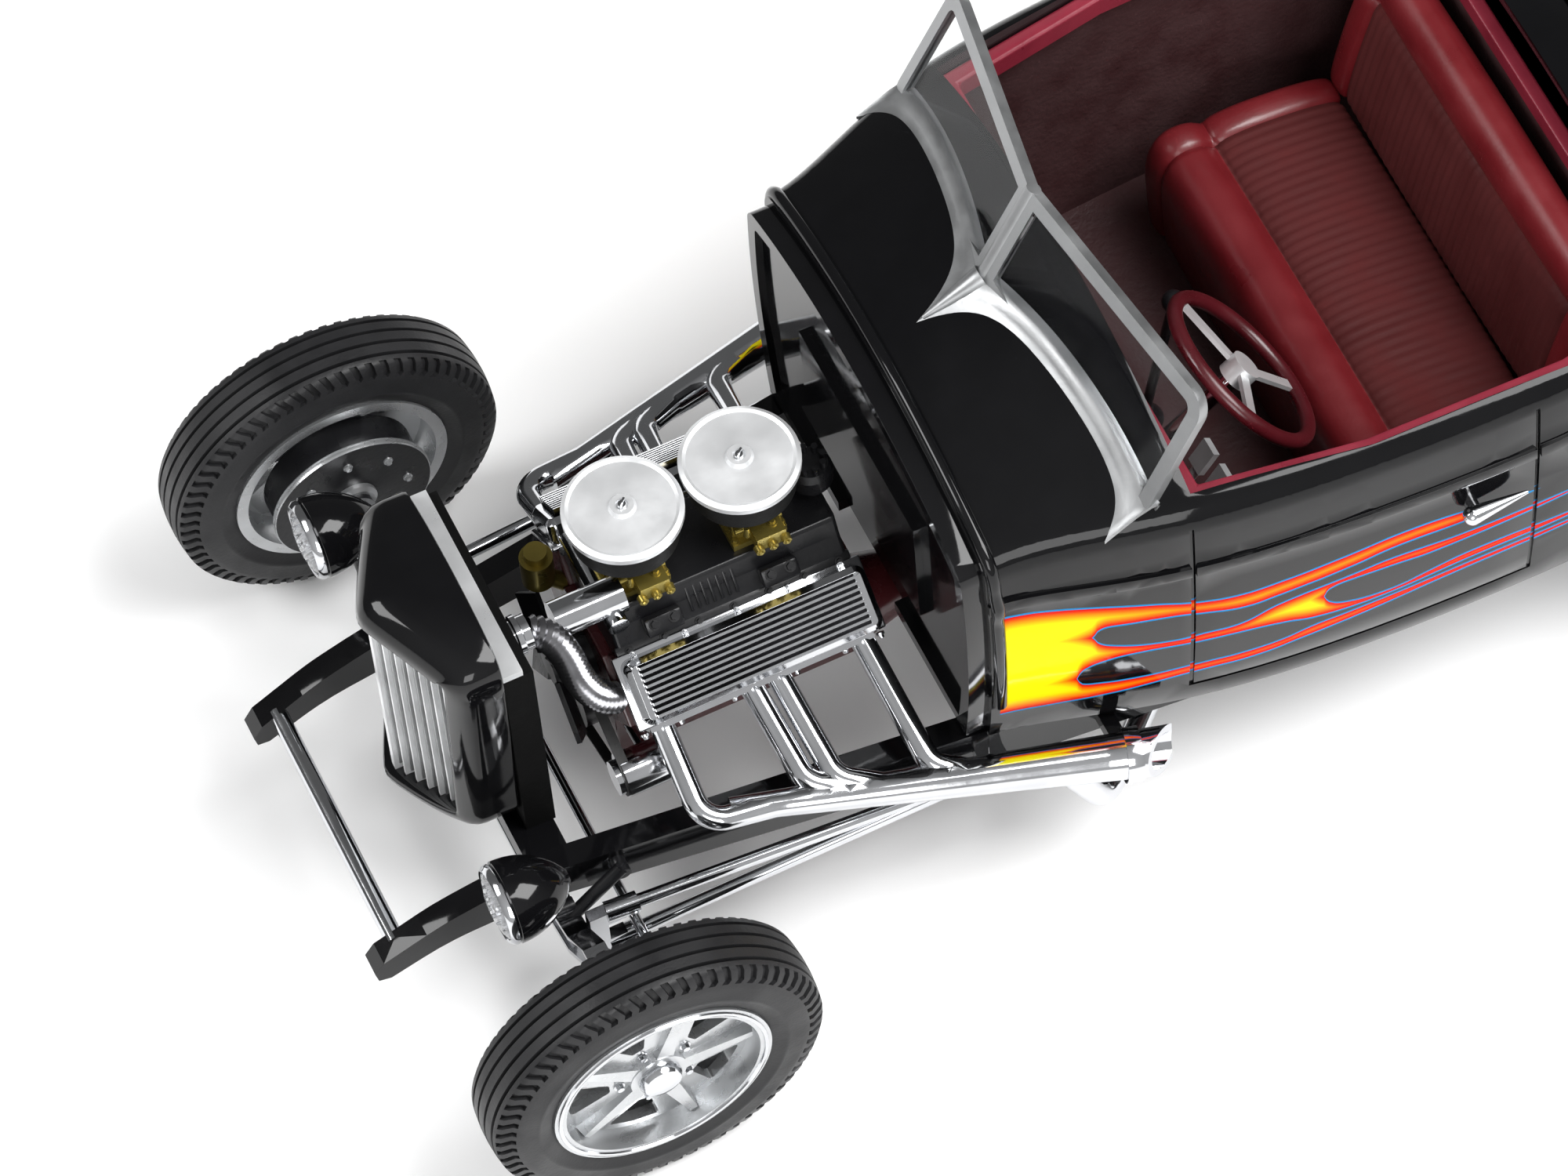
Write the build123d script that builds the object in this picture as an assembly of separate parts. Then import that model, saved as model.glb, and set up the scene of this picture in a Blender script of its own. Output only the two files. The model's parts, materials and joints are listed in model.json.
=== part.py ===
from build123d import *
import os
from math import cos, radians, sin

# Scale model of an open two-seat hot rod: ladder frame, beam front axle, bare V engine,
# hollow roadster body, V windshield and four rolling wheels. Millimetres, +X forward, +Y left, +Z up.

# Overall layout
wheelbase = 107.7
front_overhang = 15.0
rear_overhang = 20.0
front_axle_x = (wheelbase + rear_overhang - front_overhang) / 2
rear_axle_x = front_axle_x - wheelbase
running_gap = 0.06
seat_gap = 0.1

# Wheels
front_tyre_radius = 13.6
front_tyre_width = 6.2
front_half_track = 29.9
rear_tyre_radius = 15.2
rear_tyre_width = 8.4
rear_half_track = 29.6
front_rim_radius = 8.5
rear_rim_radius = 8.9
rim_wall = 0.55
rim_lip = 0.4
spoke_count = 5
hub_radius = 2.3
hub_clear = 0.35
spindle_radius = 0.9
drum_radius = 6.2
drum_depth = 2.6
drum_inset = 4.4
backing_thickness = 0.6

# Frame
rail_wall = 2.0
rail_top = 16.0
rail_depth = 5.2
horn_bend = 16.0
kick_bend = 4.0
horn_tip_height = 10.4
horn_half_width = 12.6
axle_half_width = 13.3
cowl_half_width = 17.6
tail_half_width = 21.2
kick_height = 6.0
bar_radius = 0.75
front_bar_x = front_axle_x + 12.6
front_bar_height = 11.2
rear_bar_x = rear_axle_x - rear_overhang + 1.4

# Body
body_wall = 1.0
body_bottom = rail_top
firewall_back = 34.2
dash_back = 50.0
cabin_run = 57.7
cabin_stretch = (wheelbase - dash_back) / cabin_run
belt_height = 36.2
belt_band = 1.2
belt_proud = 0.3
door_top = 42.6
door_bottom = 18.4
groove_width = 0.35
groove_depth = 0.35
floor_thickness = 1.0
lining_wall = 0.9
firewall_thickness = 1.1


def station(back):
    # x of a place so far behind the front axle; what lies behind the dashboard follows the wheelbase
    return front_axle_x - min(back, dash_back) - max(0.0, back - dash_back) * cabin_stretch


firewall_x = station(firewall_back)
dash_x = station(dash_back)
door_front_x = station(49.2)
door_rear_x = station(76.6)
cockpit_rear_x = station(90.0)
tail_x = station(121.3)
deck_front_x = station(94.5)
deck_rear_x = station(113.0)
deck_half_width = 14.5

# Radiator and grille
shell_half_width = 9.2
shell_bottom = 14.8
shell_top = 39.6
shell_rear_x = front_axle_x + 0.3
shell_side_depth = 3.4
shell_peak = 4.6
shell_wall = 0.9
shell_round = 0.8
grille_bar_count = 15

# Engine
engine_front_x = front_axle_x - 9.2
engine_length = 20.6
crank_height = 16.2
bank_angle = 40.0
carb_front_x = front_axle_x - 13.5
carb_spacing = 9.6
lid_top = 38.5
primary_radius = 0.95
primary_bend = 2.2
collector_end_radius = 1.95

# Cabin
seat_front_x = station(65.6)
seat_rear_x = station(81.4)
seat_height = 28.0
seat_top = 41.2
seat_half_width = 18.6
wheel_centre = (station(59.6), 10.4, 38.6)
wheel_rim_radius = 6.9
wheel_tube = 0.6
column_radius = 0.7
column_tilt = 38.0


def rod(start, end, radius):
    start, end = Vector(*start), Vector(*end)
    return Solid.make_cylinder(radius, (end - start).length, Plane(start, z_dir=end - start))


def tube(points, bend, radius):
    path = FilletPolyline(*points, radius=bend)
    return sweep(Plane(path @ 0, z_dir=path % 0) * Circle(radius), path=path)


def both_sides(shape):
    return [shape, mirror(shape, about=Plane.XZ)]


def bent_profile(points, width):
    # closed outline in X and Z given a width along Y, with wide bends at the horns and tighter ones at the kick
    face = make_face(Polyline(*points, close=True))
    face = fillet([v for v in face.vertices() if firewall_x - 1 < v.X < horn_bend_x and v.Y > 1], horn_bend)
    face = fillet([v for v in face.vertices() if kick_bend_x < v.X < firewall_x - 2 and v.Y > 1], kick_bend)
    return Pos(0, width / 2, 0) * extrude(Plane.XZ * face, width)


def plan_profile(points, bottom, top):
    face = make_face(Polyline(*points, close=True))
    return Pos(0, 0, bottom) * extrude(face, top - bottom)


nodes = {}


# Ladder frame: two rails cut from a plan outline and a side outline, then crossmembers between them
rail_plan = [
    # x, outer half width
    (front_axle_x + front_overhang, horn_half_width),
    (front_axle_x, axle_half_width),
    (firewall_x, cowl_half_width),
    (station(62.0), 20.2),
    (rear_axle_x + 12, tail_half_width),
    (rear_axle_x - rear_overhang, tail_half_width),
]
kick_front_x = rear_axle_x + 17.5
rail_side_top = [
    (front_axle_x + front_overhang, horn_tip_height - 0.4),
    (front_axle_x + front_overhang - 0.8, horn_tip_height + 0.8),
    (front_axle_x + 9.2, 13.6),
    (front_axle_x + 4.0, 15.0),
    (firewall_x, rail_top),
    (kick_front_x, rail_top),
    (kick_front_x - 11, rail_top + kick_height - 0.6),
    (kick_front_x - 17, rail_top + kick_height),
    (rear_axle_x - 6, rail_top + kick_height - 0.6),
    (rear_axle_x - rear_overhang, rail_top + 1.4),
]
rail_side_bottom = [
    (rear_axle_x - rear_overhang, rail_top - 0.6),
    (rear_axle_x - 7, rail_top + kick_height - 4.2),
    (kick_front_x - 16, rail_top + kick_height - 4.0),
    (kick_front_x - 10, rail_top + kick_height - 5.0),
    (kick_front_x + 2, rail_top - rail_depth),
    (firewall_x, rail_top - rail_depth),
    (front_axle_x + 3.5, 11.4),
    (front_axle_x + 9.0, 10.8),
    (front_axle_x + front_overhang - 1.2, horn_tip_height - 1.6),
    (front_axle_x + front_overhang - 0.2, horn_tip_height - 1.4),
]


horn_bend_x = front_axle_x + 12
kick_bend_x = rear_axle_x - rear_overhang + 1


def make_rail():
    inner = [(x, y - rail_wall) for x, y in reversed(rail_plan)]
    plan = plan_profile(rail_plan + inner, 0, rail_top + kick_height + 1)
    side = bent_profile(rail_side_top + rail_side_bottom, 2 * tail_half_width + 4)
    return plan & side


def rail_half_width(x):
    # outer half width of a rail at x, along its straight plan runs
    for (x0, y0), (x1, y1) in zip(rail_plan, rail_plan[1:]):
        if x1 <= x <= x0:
            return y0 + (y1 - y0) * (x0 - x) / (x0 - x1)
    return rail_plan[-1][1]


left_rail = make_rail()
rails = both_sides(left_rail)
nodes["frame_rails"] = rails


def crossmember(x, length, bottom, height):
    # a beam that ends on the inner faces of both rails
    beam = Pos(x, 0, bottom + height / 2) * Box(length, 2 * rail_half_width(x) + 4, height)
    for rail in rails:
        beam = beam - rail
    return max(beam.solids(), key=lambda s: s.volume)


crossmember_table = [
    # x, length, bottom, height
    (front_axle_x - 0.2, 3.4, 12.4, 2.2),
    (firewall_x - 14, 4.0, rail_top - rail_depth + 0.2, 2.4),
    (rear_axle_x + 1.0, 4.0, rail_top + kick_height - 2.2, 1.8),
]
nodes["frame_crossmembers"] = [crossmember(*row) for row in crossmember_table]

# Round spreader bars that tie the horns together, each let into the rails by its own hole
bar_seat = 0.6


def spreader(x, height):
    reach = rail_half_width(x) - rail_wall + bar_seat
    return rod((x, -reach, height), (x, reach, height), bar_radius)


nodes["spreader_bars"] = [spreader(front_bar_x, front_bar_height), spreader(rear_bar_x, rail_top + 0.5)]
for bar in nodes["spreader_bars"]:
    nodes["frame_rails"] = [rail - bar for rail in nodes["frame_rails"]]


def trimmed(shape, *tools):
    # the shape with the tools cut out of it, keeping its main piece
    for tool in tools:
        shape = shape - tool
    return max(shape.solids(), key=lambda s: s.volume)


# Front axle: a dropped beam with a recessed web, king pin bosses, then brakes and spindles
axle_half_depth = 0.9
king_pin_y = front_half_track - 7.6
king_pin_radius = 1.1
axle_upper = [
    # y, z along the top of the left half
    (0.0, 10.0), (king_pin_y - 9.3, 10.2), (king_pin_y - 5.3, 11.6), (king_pin_y - 1.9, 14.9), (king_pin_y, 14.9)]
axle_lower = [
    # y, z back along the bottom
    (king_pin_y, 12.3), (king_pin_y - 2.3, 12.0), (king_pin_y - 5.5, 8.8), (king_pin_y - 9.7, 7.7), (0.0, 7.5)]


def axle_outline(inset):
    half = [(y - inset * (y > king_pin_y - 2.2), z - inset) for y, z in axle_upper[1:]]
    half += [(y - inset * (y > king_pin_y - 2.2), z + inset) for y, z in axle_lower[:-1]]
    return half + [(-y, z) for y, z in reversed(half)]


def across(points, length, x):
    # closed outline in Y and Z, given a length along X that is centred on x
    face = make_face(Polyline(*points, close=True))
    return Pos(x - length / 2, 0, 0) * extrude(Plane.YZ * face, length)


web_depth = 0.4
axle_beam = across(axle_outline(0), 2 * axle_half_depth, front_axle_x)
for end in (-1, 1):
    axle_beam -= across(axle_outline(0.55), web_depth, front_axle_x + end * (axle_half_depth - web_depth / 2))
boss_height = 4.2
for side in (-1, 1):
    axle_beam += Pos(front_axle_x, side * king_pin_y, front_tyre_radius) * Cylinder(king_pin_radius, boss_height)
nodes["front_axle"] = [axle_beam]

drum_y = front_half_track - drum_inset
backing_y = drum_y - backing_thickness
knuckle_radius = 1.3
spindle_end_y = front_half_track + 1.2
knuckle = rod((front_axle_x, king_pin_y, front_tyre_radius), (front_axle_x, backing_y, front_tyre_radius), knuckle_radius)
front_brake = trimmed(knuckle, axle_beam)
brake_table = [
    # inner y, outer y, radius
    (backing_y, drum_y, drum_radius + 0.3),
    (drum_y, drum_y + drum_depth, drum_radius),
    (drum_y, spindle_end_y, spindle_radius),
]
for inner_y, outer_y, radius in brake_table:
    front_brake += rod((front_axle_x, inner_y, front_tyre_radius), (front_axle_x, outer_y, front_tyre_radius), radius)
nodes["front_brakes"] = both_sides(front_brake)

# Transverse leaf spring under the front crossmember, ending in eyes that rest on the axle
spring_top = crossmember_table[0][2]
eye_y = king_pin_y - 7.9
eye_radius = 0.65
eye_height = 11.2
leaf_table = [
    # half length, top at the middle, thickness
    (eye_y, spring_top - 0.8, 0.4),
    (10.5, spring_top - 0.4, 0.4),
    (6.5, spring_top, 0.4),
]
spring = rod((front_axle_x - 0.8, eye_y, eye_height), (front_axle_x + 0.8, eye_y, eye_height), eye_radius)
spring += mirror(spring, about=Plane.XZ)
leaf_sag = spring_top - 0.8 - eye_height
for reach, top, thick in leaf_table:
    drop = leaf_sag * (reach / eye_y) ** 2
    leaf = make_face([
        ThreePointArc((-reach, top - drop), (0, top), (reach, top - drop)),
        Line((reach, top - drop), (reach, top - drop - thick)),
        ThreePointArc((reach, top - drop - thick), (0, top - thick), (-reach, top - drop - thick)),
        Line((-reach, top - drop - thick), (-reach, top - drop)),
    ])
    spring += Pos(front_axle_x - 0.8, 0, 0) * extrude(Plane.YZ * leaf, 1.6)
nodes["front_spring"] = [trimmed(spring, axle_beam)]

# Hairpin radius rods from a bracket behind the axle to the rails, with a clevis at each front end
hairpin_radius = 0.55
hairpin_y = king_pin_y - 5.4
hairpin_front_x = front_axle_x - 3.8
hairpin_rear = (firewall_x + 0.4, cowl_half_width + 1.3, 12.4)
bracket_length = front_axle_x - axle_half_depth - hairpin_front_x
hairpin = Pos(hairpin_front_x + bracket_length / 2, hairpin_y, 10.3) * Box(bracket_length, 1.0, 5.4)
hairpin -= Pos(hairpin_front_x, hairpin_y, 10.3) * Box(bracket_length, 2.0, 2.2)
for height in (8.2, 12.4):
    start = Vector(hairpin_front_x + 0.4, hairpin_y, height)
    along = (Vector(*hairpin_rear) - start).normalized()
    hairpin += rod(tuple(start), hairpin_rear, hairpin_radius)
    hairpin += rod(tuple(start - along * 1.0), tuple(start + along * 1.6), hairpin_radius + 0.3)
hairpin += Pos(hairpin_rear[0] - 0.4, hairpin_rear[1] - 0.9, hairpin_rear[2]) * Box(2.2, 2.4, 2.4)
nodes["front_radius_rods"] = both_sides(trimmed(hairpin, left_rail, axle_beam))

# Slim dampers from the rails down to the axle, inboard of the radius rods
damper_x = front_axle_x - 4.8
damper_y = rail_half_width(damper_x)
damper = rod((damper_x, damper_y - 0.6, 14.0), (damper_x, damper_y + 1.4, 14.0), 0.6)
damper += rod((damper_x, damper_y + 1.0, 14.4), (front_axle_x - 0.2, damper_y + 1.0, 10.4), 0.55)
nodes["front_dampers"] = both_sides(trimmed(damper, left_rail, axle_beam, nodes["front_spring"][0]))

# Tie rod between the two steering arms
tie_x = front_axle_x - 4.6
tie_height = 10.2
tie_y = king_pin_y - 0.5
steering = rod((tie_x, -tie_y, tie_height), (tie_x, tie_y, tie_height), 0.42)
for side in (-1, 1):
    arm = rod((tie_x, side * tie_y, tie_height), (front_axle_x, side * (king_pin_y + 2.0), front_tyre_radius - 0.9), 0.55)
    steering += arm
    steering += Pos(tie_x, side * tie_y, tie_height) * Sphere(0.8)
nodes["steering_linkage"] = [trimmed(steering, *nodes["front_brakes"])]


# Tyres and wheels, drawn around the local Z axis and laid over onto the axle line
bead_ratio = 0.40


def ring(profile):
    return revolve(Plane.XZ * make_face(profile), Axis.Z)


def make_tyre(radius, width, rim):
    bead = bead_ratio * width
    shoulder = radius - 0.09 * radius
    return ring([
        Line((rim, -bead), (rim + 0.4, -bead)),
        ThreePointArc((rim + 0.4, -bead), ((rim + radius) / 2, -width / 2), (shoulder, -0.44 * width)),
        ThreePointArc((shoulder, -0.44 * width), (radius - 0.42, -0.40 * width), (radius - 0.12, -0.33 * width)),
        ThreePointArc((radius - 0.12, -0.33 * width), (radius, 0), (radius - 0.12, 0.33 * width)),
        ThreePointArc((radius - 0.12, 0.33 * width), (radius - 0.42, 0.40 * width), (shoulder, 0.44 * width)),
        ThreePointArc((shoulder, 0.44 * width), ((rim + radius) / 2, width / 2), (rim + 0.4, bead)),
        Line((rim + 0.4, bead), (rim, bead)),
        Line((rim, bead), (rim, -bead)),
    ])


def make_rim(width, rim, hub_inner, hub_outer):
    # barrel with lips, a dished face with windows between ridged spokes, and a blind hub on the outer side (+Z)
    bead = bead_ratio * width
    inner = rim - rim_wall
    wheel = ring(Polyline(
        (inner, -bead - rim_lip), (rim + 0.4, -bead - rim_lip), (rim + 0.4, -bead), (rim, -bead),
        (rim, bead), (rim + 0.4, bead), (rim + 0.4, bead + rim_lip), (inner, bead + rim_lip), close=True))
    face_z = bead - 1.3
    dish = ring(Polyline(
        (0, face_z - 0.4), (hub_radius, face_z - 0.5), (inner + 0.1, face_z - 1.1),
        (inner + 0.1, face_z - 0.2), (hub_radius + 1.2, face_z + 0.3), (0, face_z + 0.3), close=True))
    near = hub_radius + 1.5
    far = inner - 0.7
    window = make_face(Polyline(
        (near, -0.5), (far - 0.3, -0.3 * far), (far, 0), (far - 0.3, 0.3 * far), (near, 0.5), close=True))
    window = fillet(window.vertices(), 0.3)
    ridge = make_face(Polyline((hub_radius - 0.4, -1.05), (inner + 0.1, -0.6), (inner + 0.1, 0.6), (hub_radius - 0.4, 1.05), close=True))
    ridge = Pos(0, 0, face_z - 0.7) * extrude(ridge, 1.5, taper=12)
    for index in range(spoke_count):
        turn = 360 / spoke_count * index
        dish -= Rot(0, 0, turn) * Pos(0, 0, face_z - 3) * extrude(window, 6)
        dish += Rot(0, 0, turn + 180 / spoke_count) * ridge
    wheel += dish
    wheel += Pos(0, 0, (hub_inner + hub_outer) / 2) * Cylinder(hub_radius, hub_outer - hub_inner)
    cap = Pos(0, 0, hub_outer) * Cone(hub_radius * 0.72, hub_radius * 0.5, 0.8, align=(Align.CENTER, Align.CENTER, Align.MIN))
    return wheel + cap


wheel_table = [
    # name, x, half track, tyre radius, tyre width, rim radius
    ("front", front_axle_x, front_half_track, front_tyre_radius, front_tyre_width, front_rim_radius),
    ("rear", rear_axle_x, rear_half_track, rear_tyre_radius, rear_tyre_width, rear_rim_radius),
]
rear_drum_y = rear_half_track - drum_inset
drum_faces = {"front": drum_y + drum_depth, "rear": rear_drum_y + drum_depth}
spindle_ends = {"front": spindle_end_y, "rear": rear_half_track + 1.8}
for axle, x, half_track, radius, width, rim_radius in wheel_table:
    hub_inner = drum_faces[axle] + hub_clear - half_track
    spindle_end = spindle_ends[axle] - half_track
    bore_end = spindle_end + 0.35
    tyre = make_tyre(radius, width, rim_radius)
    rim = make_rim(width, rim_radius, hub_inner, bore_end + 0.5)
    bore = Pos(0, 0, hub_inner - 0.1) * Cylinder(
        spindle_radius + running_gap, bore_end - hub_inner + 0.1, align=(Align.CENTER, Align.CENTER, Align.MIN))
    rim -= bore
    laid = Pos(x, half_track, radius) * Rot(-90, 0, 0)
    for kind, shape in (("tyre", tyre), ("rim", rim)):
        left, right = both_sides(laid * shape)
        nodes[f"{kind}_{axle}_left"] = [left]
        nodes[f"{kind}_{axle}_right"] = [right]

# Rear axle with a ribbed centre housing, drums and spindles
axle_tube_radius = 1.5
rear_axle_z = rear_tyre_radius
housing = Pos(rear_axle_x, 0, rear_axle_z) * Rot(90, 0, 0) * Cylinder(4.2, 6.4)
housing += Pos(rear_axle_x - 2.6, 0, rear_axle_z) * Rot(0, 90, 0) * Cylinder(3.3, 5.2)
housing += Pos(rear_axle_x + 3.6, 0, rear_axle_z) * Rot(0, 90, 0) * Cone(2.6, 1.4, 5.0)
housing += rod((rear_axle_x, -rear_drum_y, rear_axle_z), (rear_axle_x, rear_drum_y, rear_axle_z), axle_tube_radius)
rear_brake_table = [
    # inner y, outer y, radius
    (rear_drum_y - backing_thickness, rear_drum_y, drum_radius + 0.3),
    (rear_drum_y, rear_drum_y + drum_depth, drum_radius),
    (rear_drum_y, spindle_ends["rear"], spindle_radius),
]
for inner_y, outer_y, radius in rear_brake_table:
    for side in (-1, 1):
        housing += rod((rear_axle_x, side * inner_y, rear_axle_z), (rear_axle_x, side * outer_y, rear_axle_z), radius)
nodes["rear_axle"] = [housing]


# Radiator with a top tank, standing on the front crossmember behind the grille shell
radiator_depth = 2.4
radiator_half_width = 8.8
radiator_top = 36.2
radiator_bottom = crossmember_table[0][2] + crossmember_table[0][3]
radiator = Pos(shell_rear_x - radiator_depth / 2, 0, (radiator_bottom + radiator_top) / 2) * Box(
    radiator_depth, 2 * radiator_half_width, radiator_top - radiator_bottom)
radiator -= Pos(shell_rear_x - radiator_depth, 0, 24.6) * Box(0.8, 2 * radiator_half_width - 3, 15.6)
nodes["radiator"] = [radiator]
strip_height = 0.7
strip_depth = 1.6
nodes["radiator_strip"] = [
    Pos(shell_rear_x - strip_depth / 2, 0, radiator_top + strip_height / 2)
    * Box(strip_depth, 2 * radiator_half_width, strip_height)
]


# Grille shell: a front outline, a peaked plan and a sloping top line meet in one solid, then it is opened
def shell_front_outline(inset):
    half = shell_half_width - inset
    low = shell_bottom + inset
    top = shell_top - inset
    outline = make_face([
        Line((-half, top - 3.2), (-half + 0.9, low + 2.2)),
        ThreePointArc((-half + 0.9, low + 2.2), (0, low - 0.4), (half - 0.9, low + 2.2)),
        Line((half - 0.9, low + 2.2), (half, top - 3.2)),
        ThreePointArc((half, top - 3.2), (half - 1.1, top - 0.9), (half - 3.4, top - 0.1)),
        ThreePointArc((half - 3.4, top - 0.1), (0, top + 0.5), (-half + 3.4, top - 0.1)),
        ThreePointArc((-half + 3.4, top - 0.1), (-half + 1.1, top - 0.9), (-half, top - 3.2)),
    ])
    return outline


def shell_volume(inset, start, plan_inset):
    front = Pos(start, 0, 0) * extrude(Plane.YZ * shell_front_outline(inset), 12)
    side_x = shell_rear_x + shell_side_depth - plan_inset
    plan = plan_profile([
        (start - 1, -12), (side_x, -12), (side_x, -shell_half_width), (side_x + shell_peak, 0),
        (side_x, shell_half_width), (side_x, 12), (start - 1, 12)], 0, 60)
    return front & plan


shell = shell_volume(0, shell_rear_x, 0)
shell_edges = [edge for edge in shell.edges() if edge.center().X > shell_rear_x + 0.5]
shell_rims = [edge for edge in shell_edges if edge.center().X > shell_rear_x + shell_side_depth - 0.2]
shell = fillet(shell_rims, shell_round)
shell -= shell_volume(shell_wall, shell_rear_x - 1, 0.9)
shell -= Pos(shell_rear_x - 1, 0, 0) * extrude(Plane.YZ * shell_front_outline(1.7), 20)
shell = trimmed(shell, nodes["frame_crossmembers"][0])
nodes["grille_shell"] = [shell]

bar_width = 0.34
bar_depth = 1.0
bar_half_span = shell_half_width - 2.0
bars = None
for index in range(grille_bar_count):
    y = bar_half_span * (2 * index / (grille_bar_count - 1) - 1)
    x = shell_rear_x + shell_side_depth + shell_peak * (1 - abs(y) / shell_half_width) - 1.5
    wide = bar_width * (2 if index == grille_bar_count // 2 else 1)
    blade = Pos(x, y, (shell_bottom + shell_top) / 2) * Box(bar_depth, wide, shell_top - shell_bottom - 1.0)
    bars = blade if bars is None else bars + blade
for height in (20.5, 27.2, 34.0):
    x = shell_rear_x + shell_side_depth - 1.9
    tie = plan_profile([
        (x, -shell_half_width), (x + shell_peak, 0), (x, shell_half_width),
        (x - 0.5, shell_half_width), (x + shell_peak - 0.5, 0), (x - 0.5, -shell_half_width)], height - 0.2, height + 0.2)
    bars += tie
nodes["grille_bars"] = [trimmed(bars, shell)]

# Bullet headlamps on curved stalks from the rails
lamp_x = front_axle_x + 4.3
lamp_y = 17.9
lamp_height = 22.0
lamp_radius = 3.3
lamp_profile = [
    Line((0, -3.9), (0, 1.6)),
    Line((0, 1.6), (lamp_radius - 0.5, 1.6)),
    Line((lamp_radius - 0.5, 1.6), (lamp_radius, 1.2)),
    ThreePointArc((lamp_radius, 1.2), (2.5, -1.9), (0.5, -3.9)),
    Line((0.5, -3.9), (0, -3.9)),
]
lamp_place = Pos(lamp_x, lamp_y, lamp_height) * Rot(0, 90, 0)
bucket = lamp_place * ring(lamp_profile)
stalk_foot_x = front_axle_x + 2.4
bucket += tube([
    (lamp_x - 1.6, lamp_y, lamp_height - 1.5), (lamp_x - 2.0, lamp_y - 0.3, 17.4),
    (stalk_foot_x, rail_half_width(stalk_foot_x) - 0.6, 14.0)], 1.2, 0.65)
nodes["headlamp_buckets"] = both_sides(trimmed(bucket, left_rail))
lens = lamp_place * ring([
    Line((0, 1.6), (0, 2.5)),
    ThreePointArc((0, 2.5), (1.6, 2.3), (lamp_radius - 0.7, 1.9)),
    Line((lamp_radius - 0.7, 1.9), (lamp_radius - 0.7, 1.6)),
    Line((lamp_radius - 0.7, 1.6), (0, 1.6)),
])
nodes["headlamp_lenses"] = both_sides(lens)

# Engine: crankcase with two banks, heads and finned covers set out in the bank's own axes
deck_height = 8.8
head_height = 2.9
cover_height = 2.3
bank_half = 2.9
engine_mid_x = engine_front_x - engine_length / 2
engine_rear_x = engine_front_x - engine_length


def bank_point(across_bank, along_bank):
    a = radians(bank_angle)
    return (along_bank * sin(a) + across_bank * cos(a), crank_height + along_bank * cos(a) - across_bank * sin(a))


def in_bank(shape):
    return Pos(engine_mid_x, 0, crank_height) * Rot(-bank_angle, 0, 0) * shape


bank_block = in_bank(Pos(0, 0, deck_height / 2) * Box(engine_length, 2 * bank_half, deck_height))
valley_y, valley_z = bank_point(-bank_half, deck_height)
block = across([
    (-3.6, 11.2), (3.6, 11.2), (4.6, 12.4), (4.6, 17.6), (3.4, 20.4),
    (valley_y, valley_z), (-valley_y, valley_z), (-3.4, 20.4), (-4.6, 17.6), (-4.6, 12.4)], engine_length, engine_mid_x)
block += bank_block
block += mirror(bank_block, about=Plane.XZ)
nodes["engine_block"] = [block]

head = in_bank(Pos(0, 0, deck_height + head_height / 2) * Box(engine_length - 0.8, 2 * bank_half, head_height))
nodes["cylinder_heads"] = both_sides(head)

cover_length = 19.8
cover_half = 2.6
cover_base = deck_height + head_height
cover = Pos(0, 0, cover_base + cover_height / 2) * Box(cover_length, 2 * cover_half, cover_height)
cover = fillet(cover.edges().filter_by(Axis.Z), 0.8)
cover = chamfer(cover.faces().sort_by(Axis.Z)[-1].edges(), 0.45)
fin_count = 9
fin_pitch = 0.48
for index in range(fin_count):
    y = (index - (fin_count - 1) / 2) * fin_pitch
    cover += Pos(0, y, cover_base + cover_height + 0.15) * Box(cover_length - 2.0, 0.2, 0.9)
nodes["valve_covers"] = both_sides(in_bank(cover))

manifold_top = 30.2
port_y, port_z = bank_point(-bank_half, cover_base)
manifold = across([
    (-valley_y, valley_z), (valley_y, valley_z), (port_y, port_z), (4.0, manifold_top - 1.4), (3.3, manifold_top),
    (-3.3, manifold_top), (-4.0, manifold_top - 1.4), (-port_y, port_z)], engine_length - 1.6, engine_mid_x)
nodes["intake_manifold"] = [manifold]

filter_bottom = 34.8
lid_bottom = lid_top - 1.1
lid_radius = carb_spacing / 2 - 0.16
carb_xs = [carb_front_x, carb_front_x - carb_spacing]
carbs, filters, lids = [], [], []
for x in carb_xs:
    carb = Pos(x, 0, manifold_top + 0.3) * Box(4.4, 5.4, 0.6)
    carb += Pos(x, 0, manifold_top + 1.6) * Box(4.0, 4.2, 2.0)
    carb += Pos(x - 0.4, 3.0, manifold_top + 1.7) * Box(2.4, 2.2, 1.5)
    carb += Pos(x - 0.4, -3.0, manifold_top + 1.7) * Box(2.4, 2.2, 1.5)
    carb += Pos(x, 0, (manifold_top + 2.6 + filter_bottom) / 2) * Cylinder(1.9, filter_bottom - manifold_top - 2.6)
    carbs.append(carb)
    filters.append(Pos(x, 0, (filter_bottom + lid_bottom) / 2) * Cylinder(lid_radius - 0.5, lid_bottom - filter_bottom))
    lids.append(Pos(x, 0, 0) * ring(Polyline(
        (0, lid_bottom), (lid_radius, lid_bottom), (lid_radius, lid_bottom + 0.5), (lid_radius - 0.35, lid_bottom + 0.75),
        (lid_radius - 0.6, lid_bottom + 0.6), (1.1, lid_top - 0.3), (0.9, lid_top), (0.5, lid_top), (0.4, lid_top - 0.15),
        (0, lid_top - 0.15), close=True)))
nodes["carburettors"] = carbs
nodes["air_filters"] = filters
nodes["air_cleaner_lids"] = lids

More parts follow.
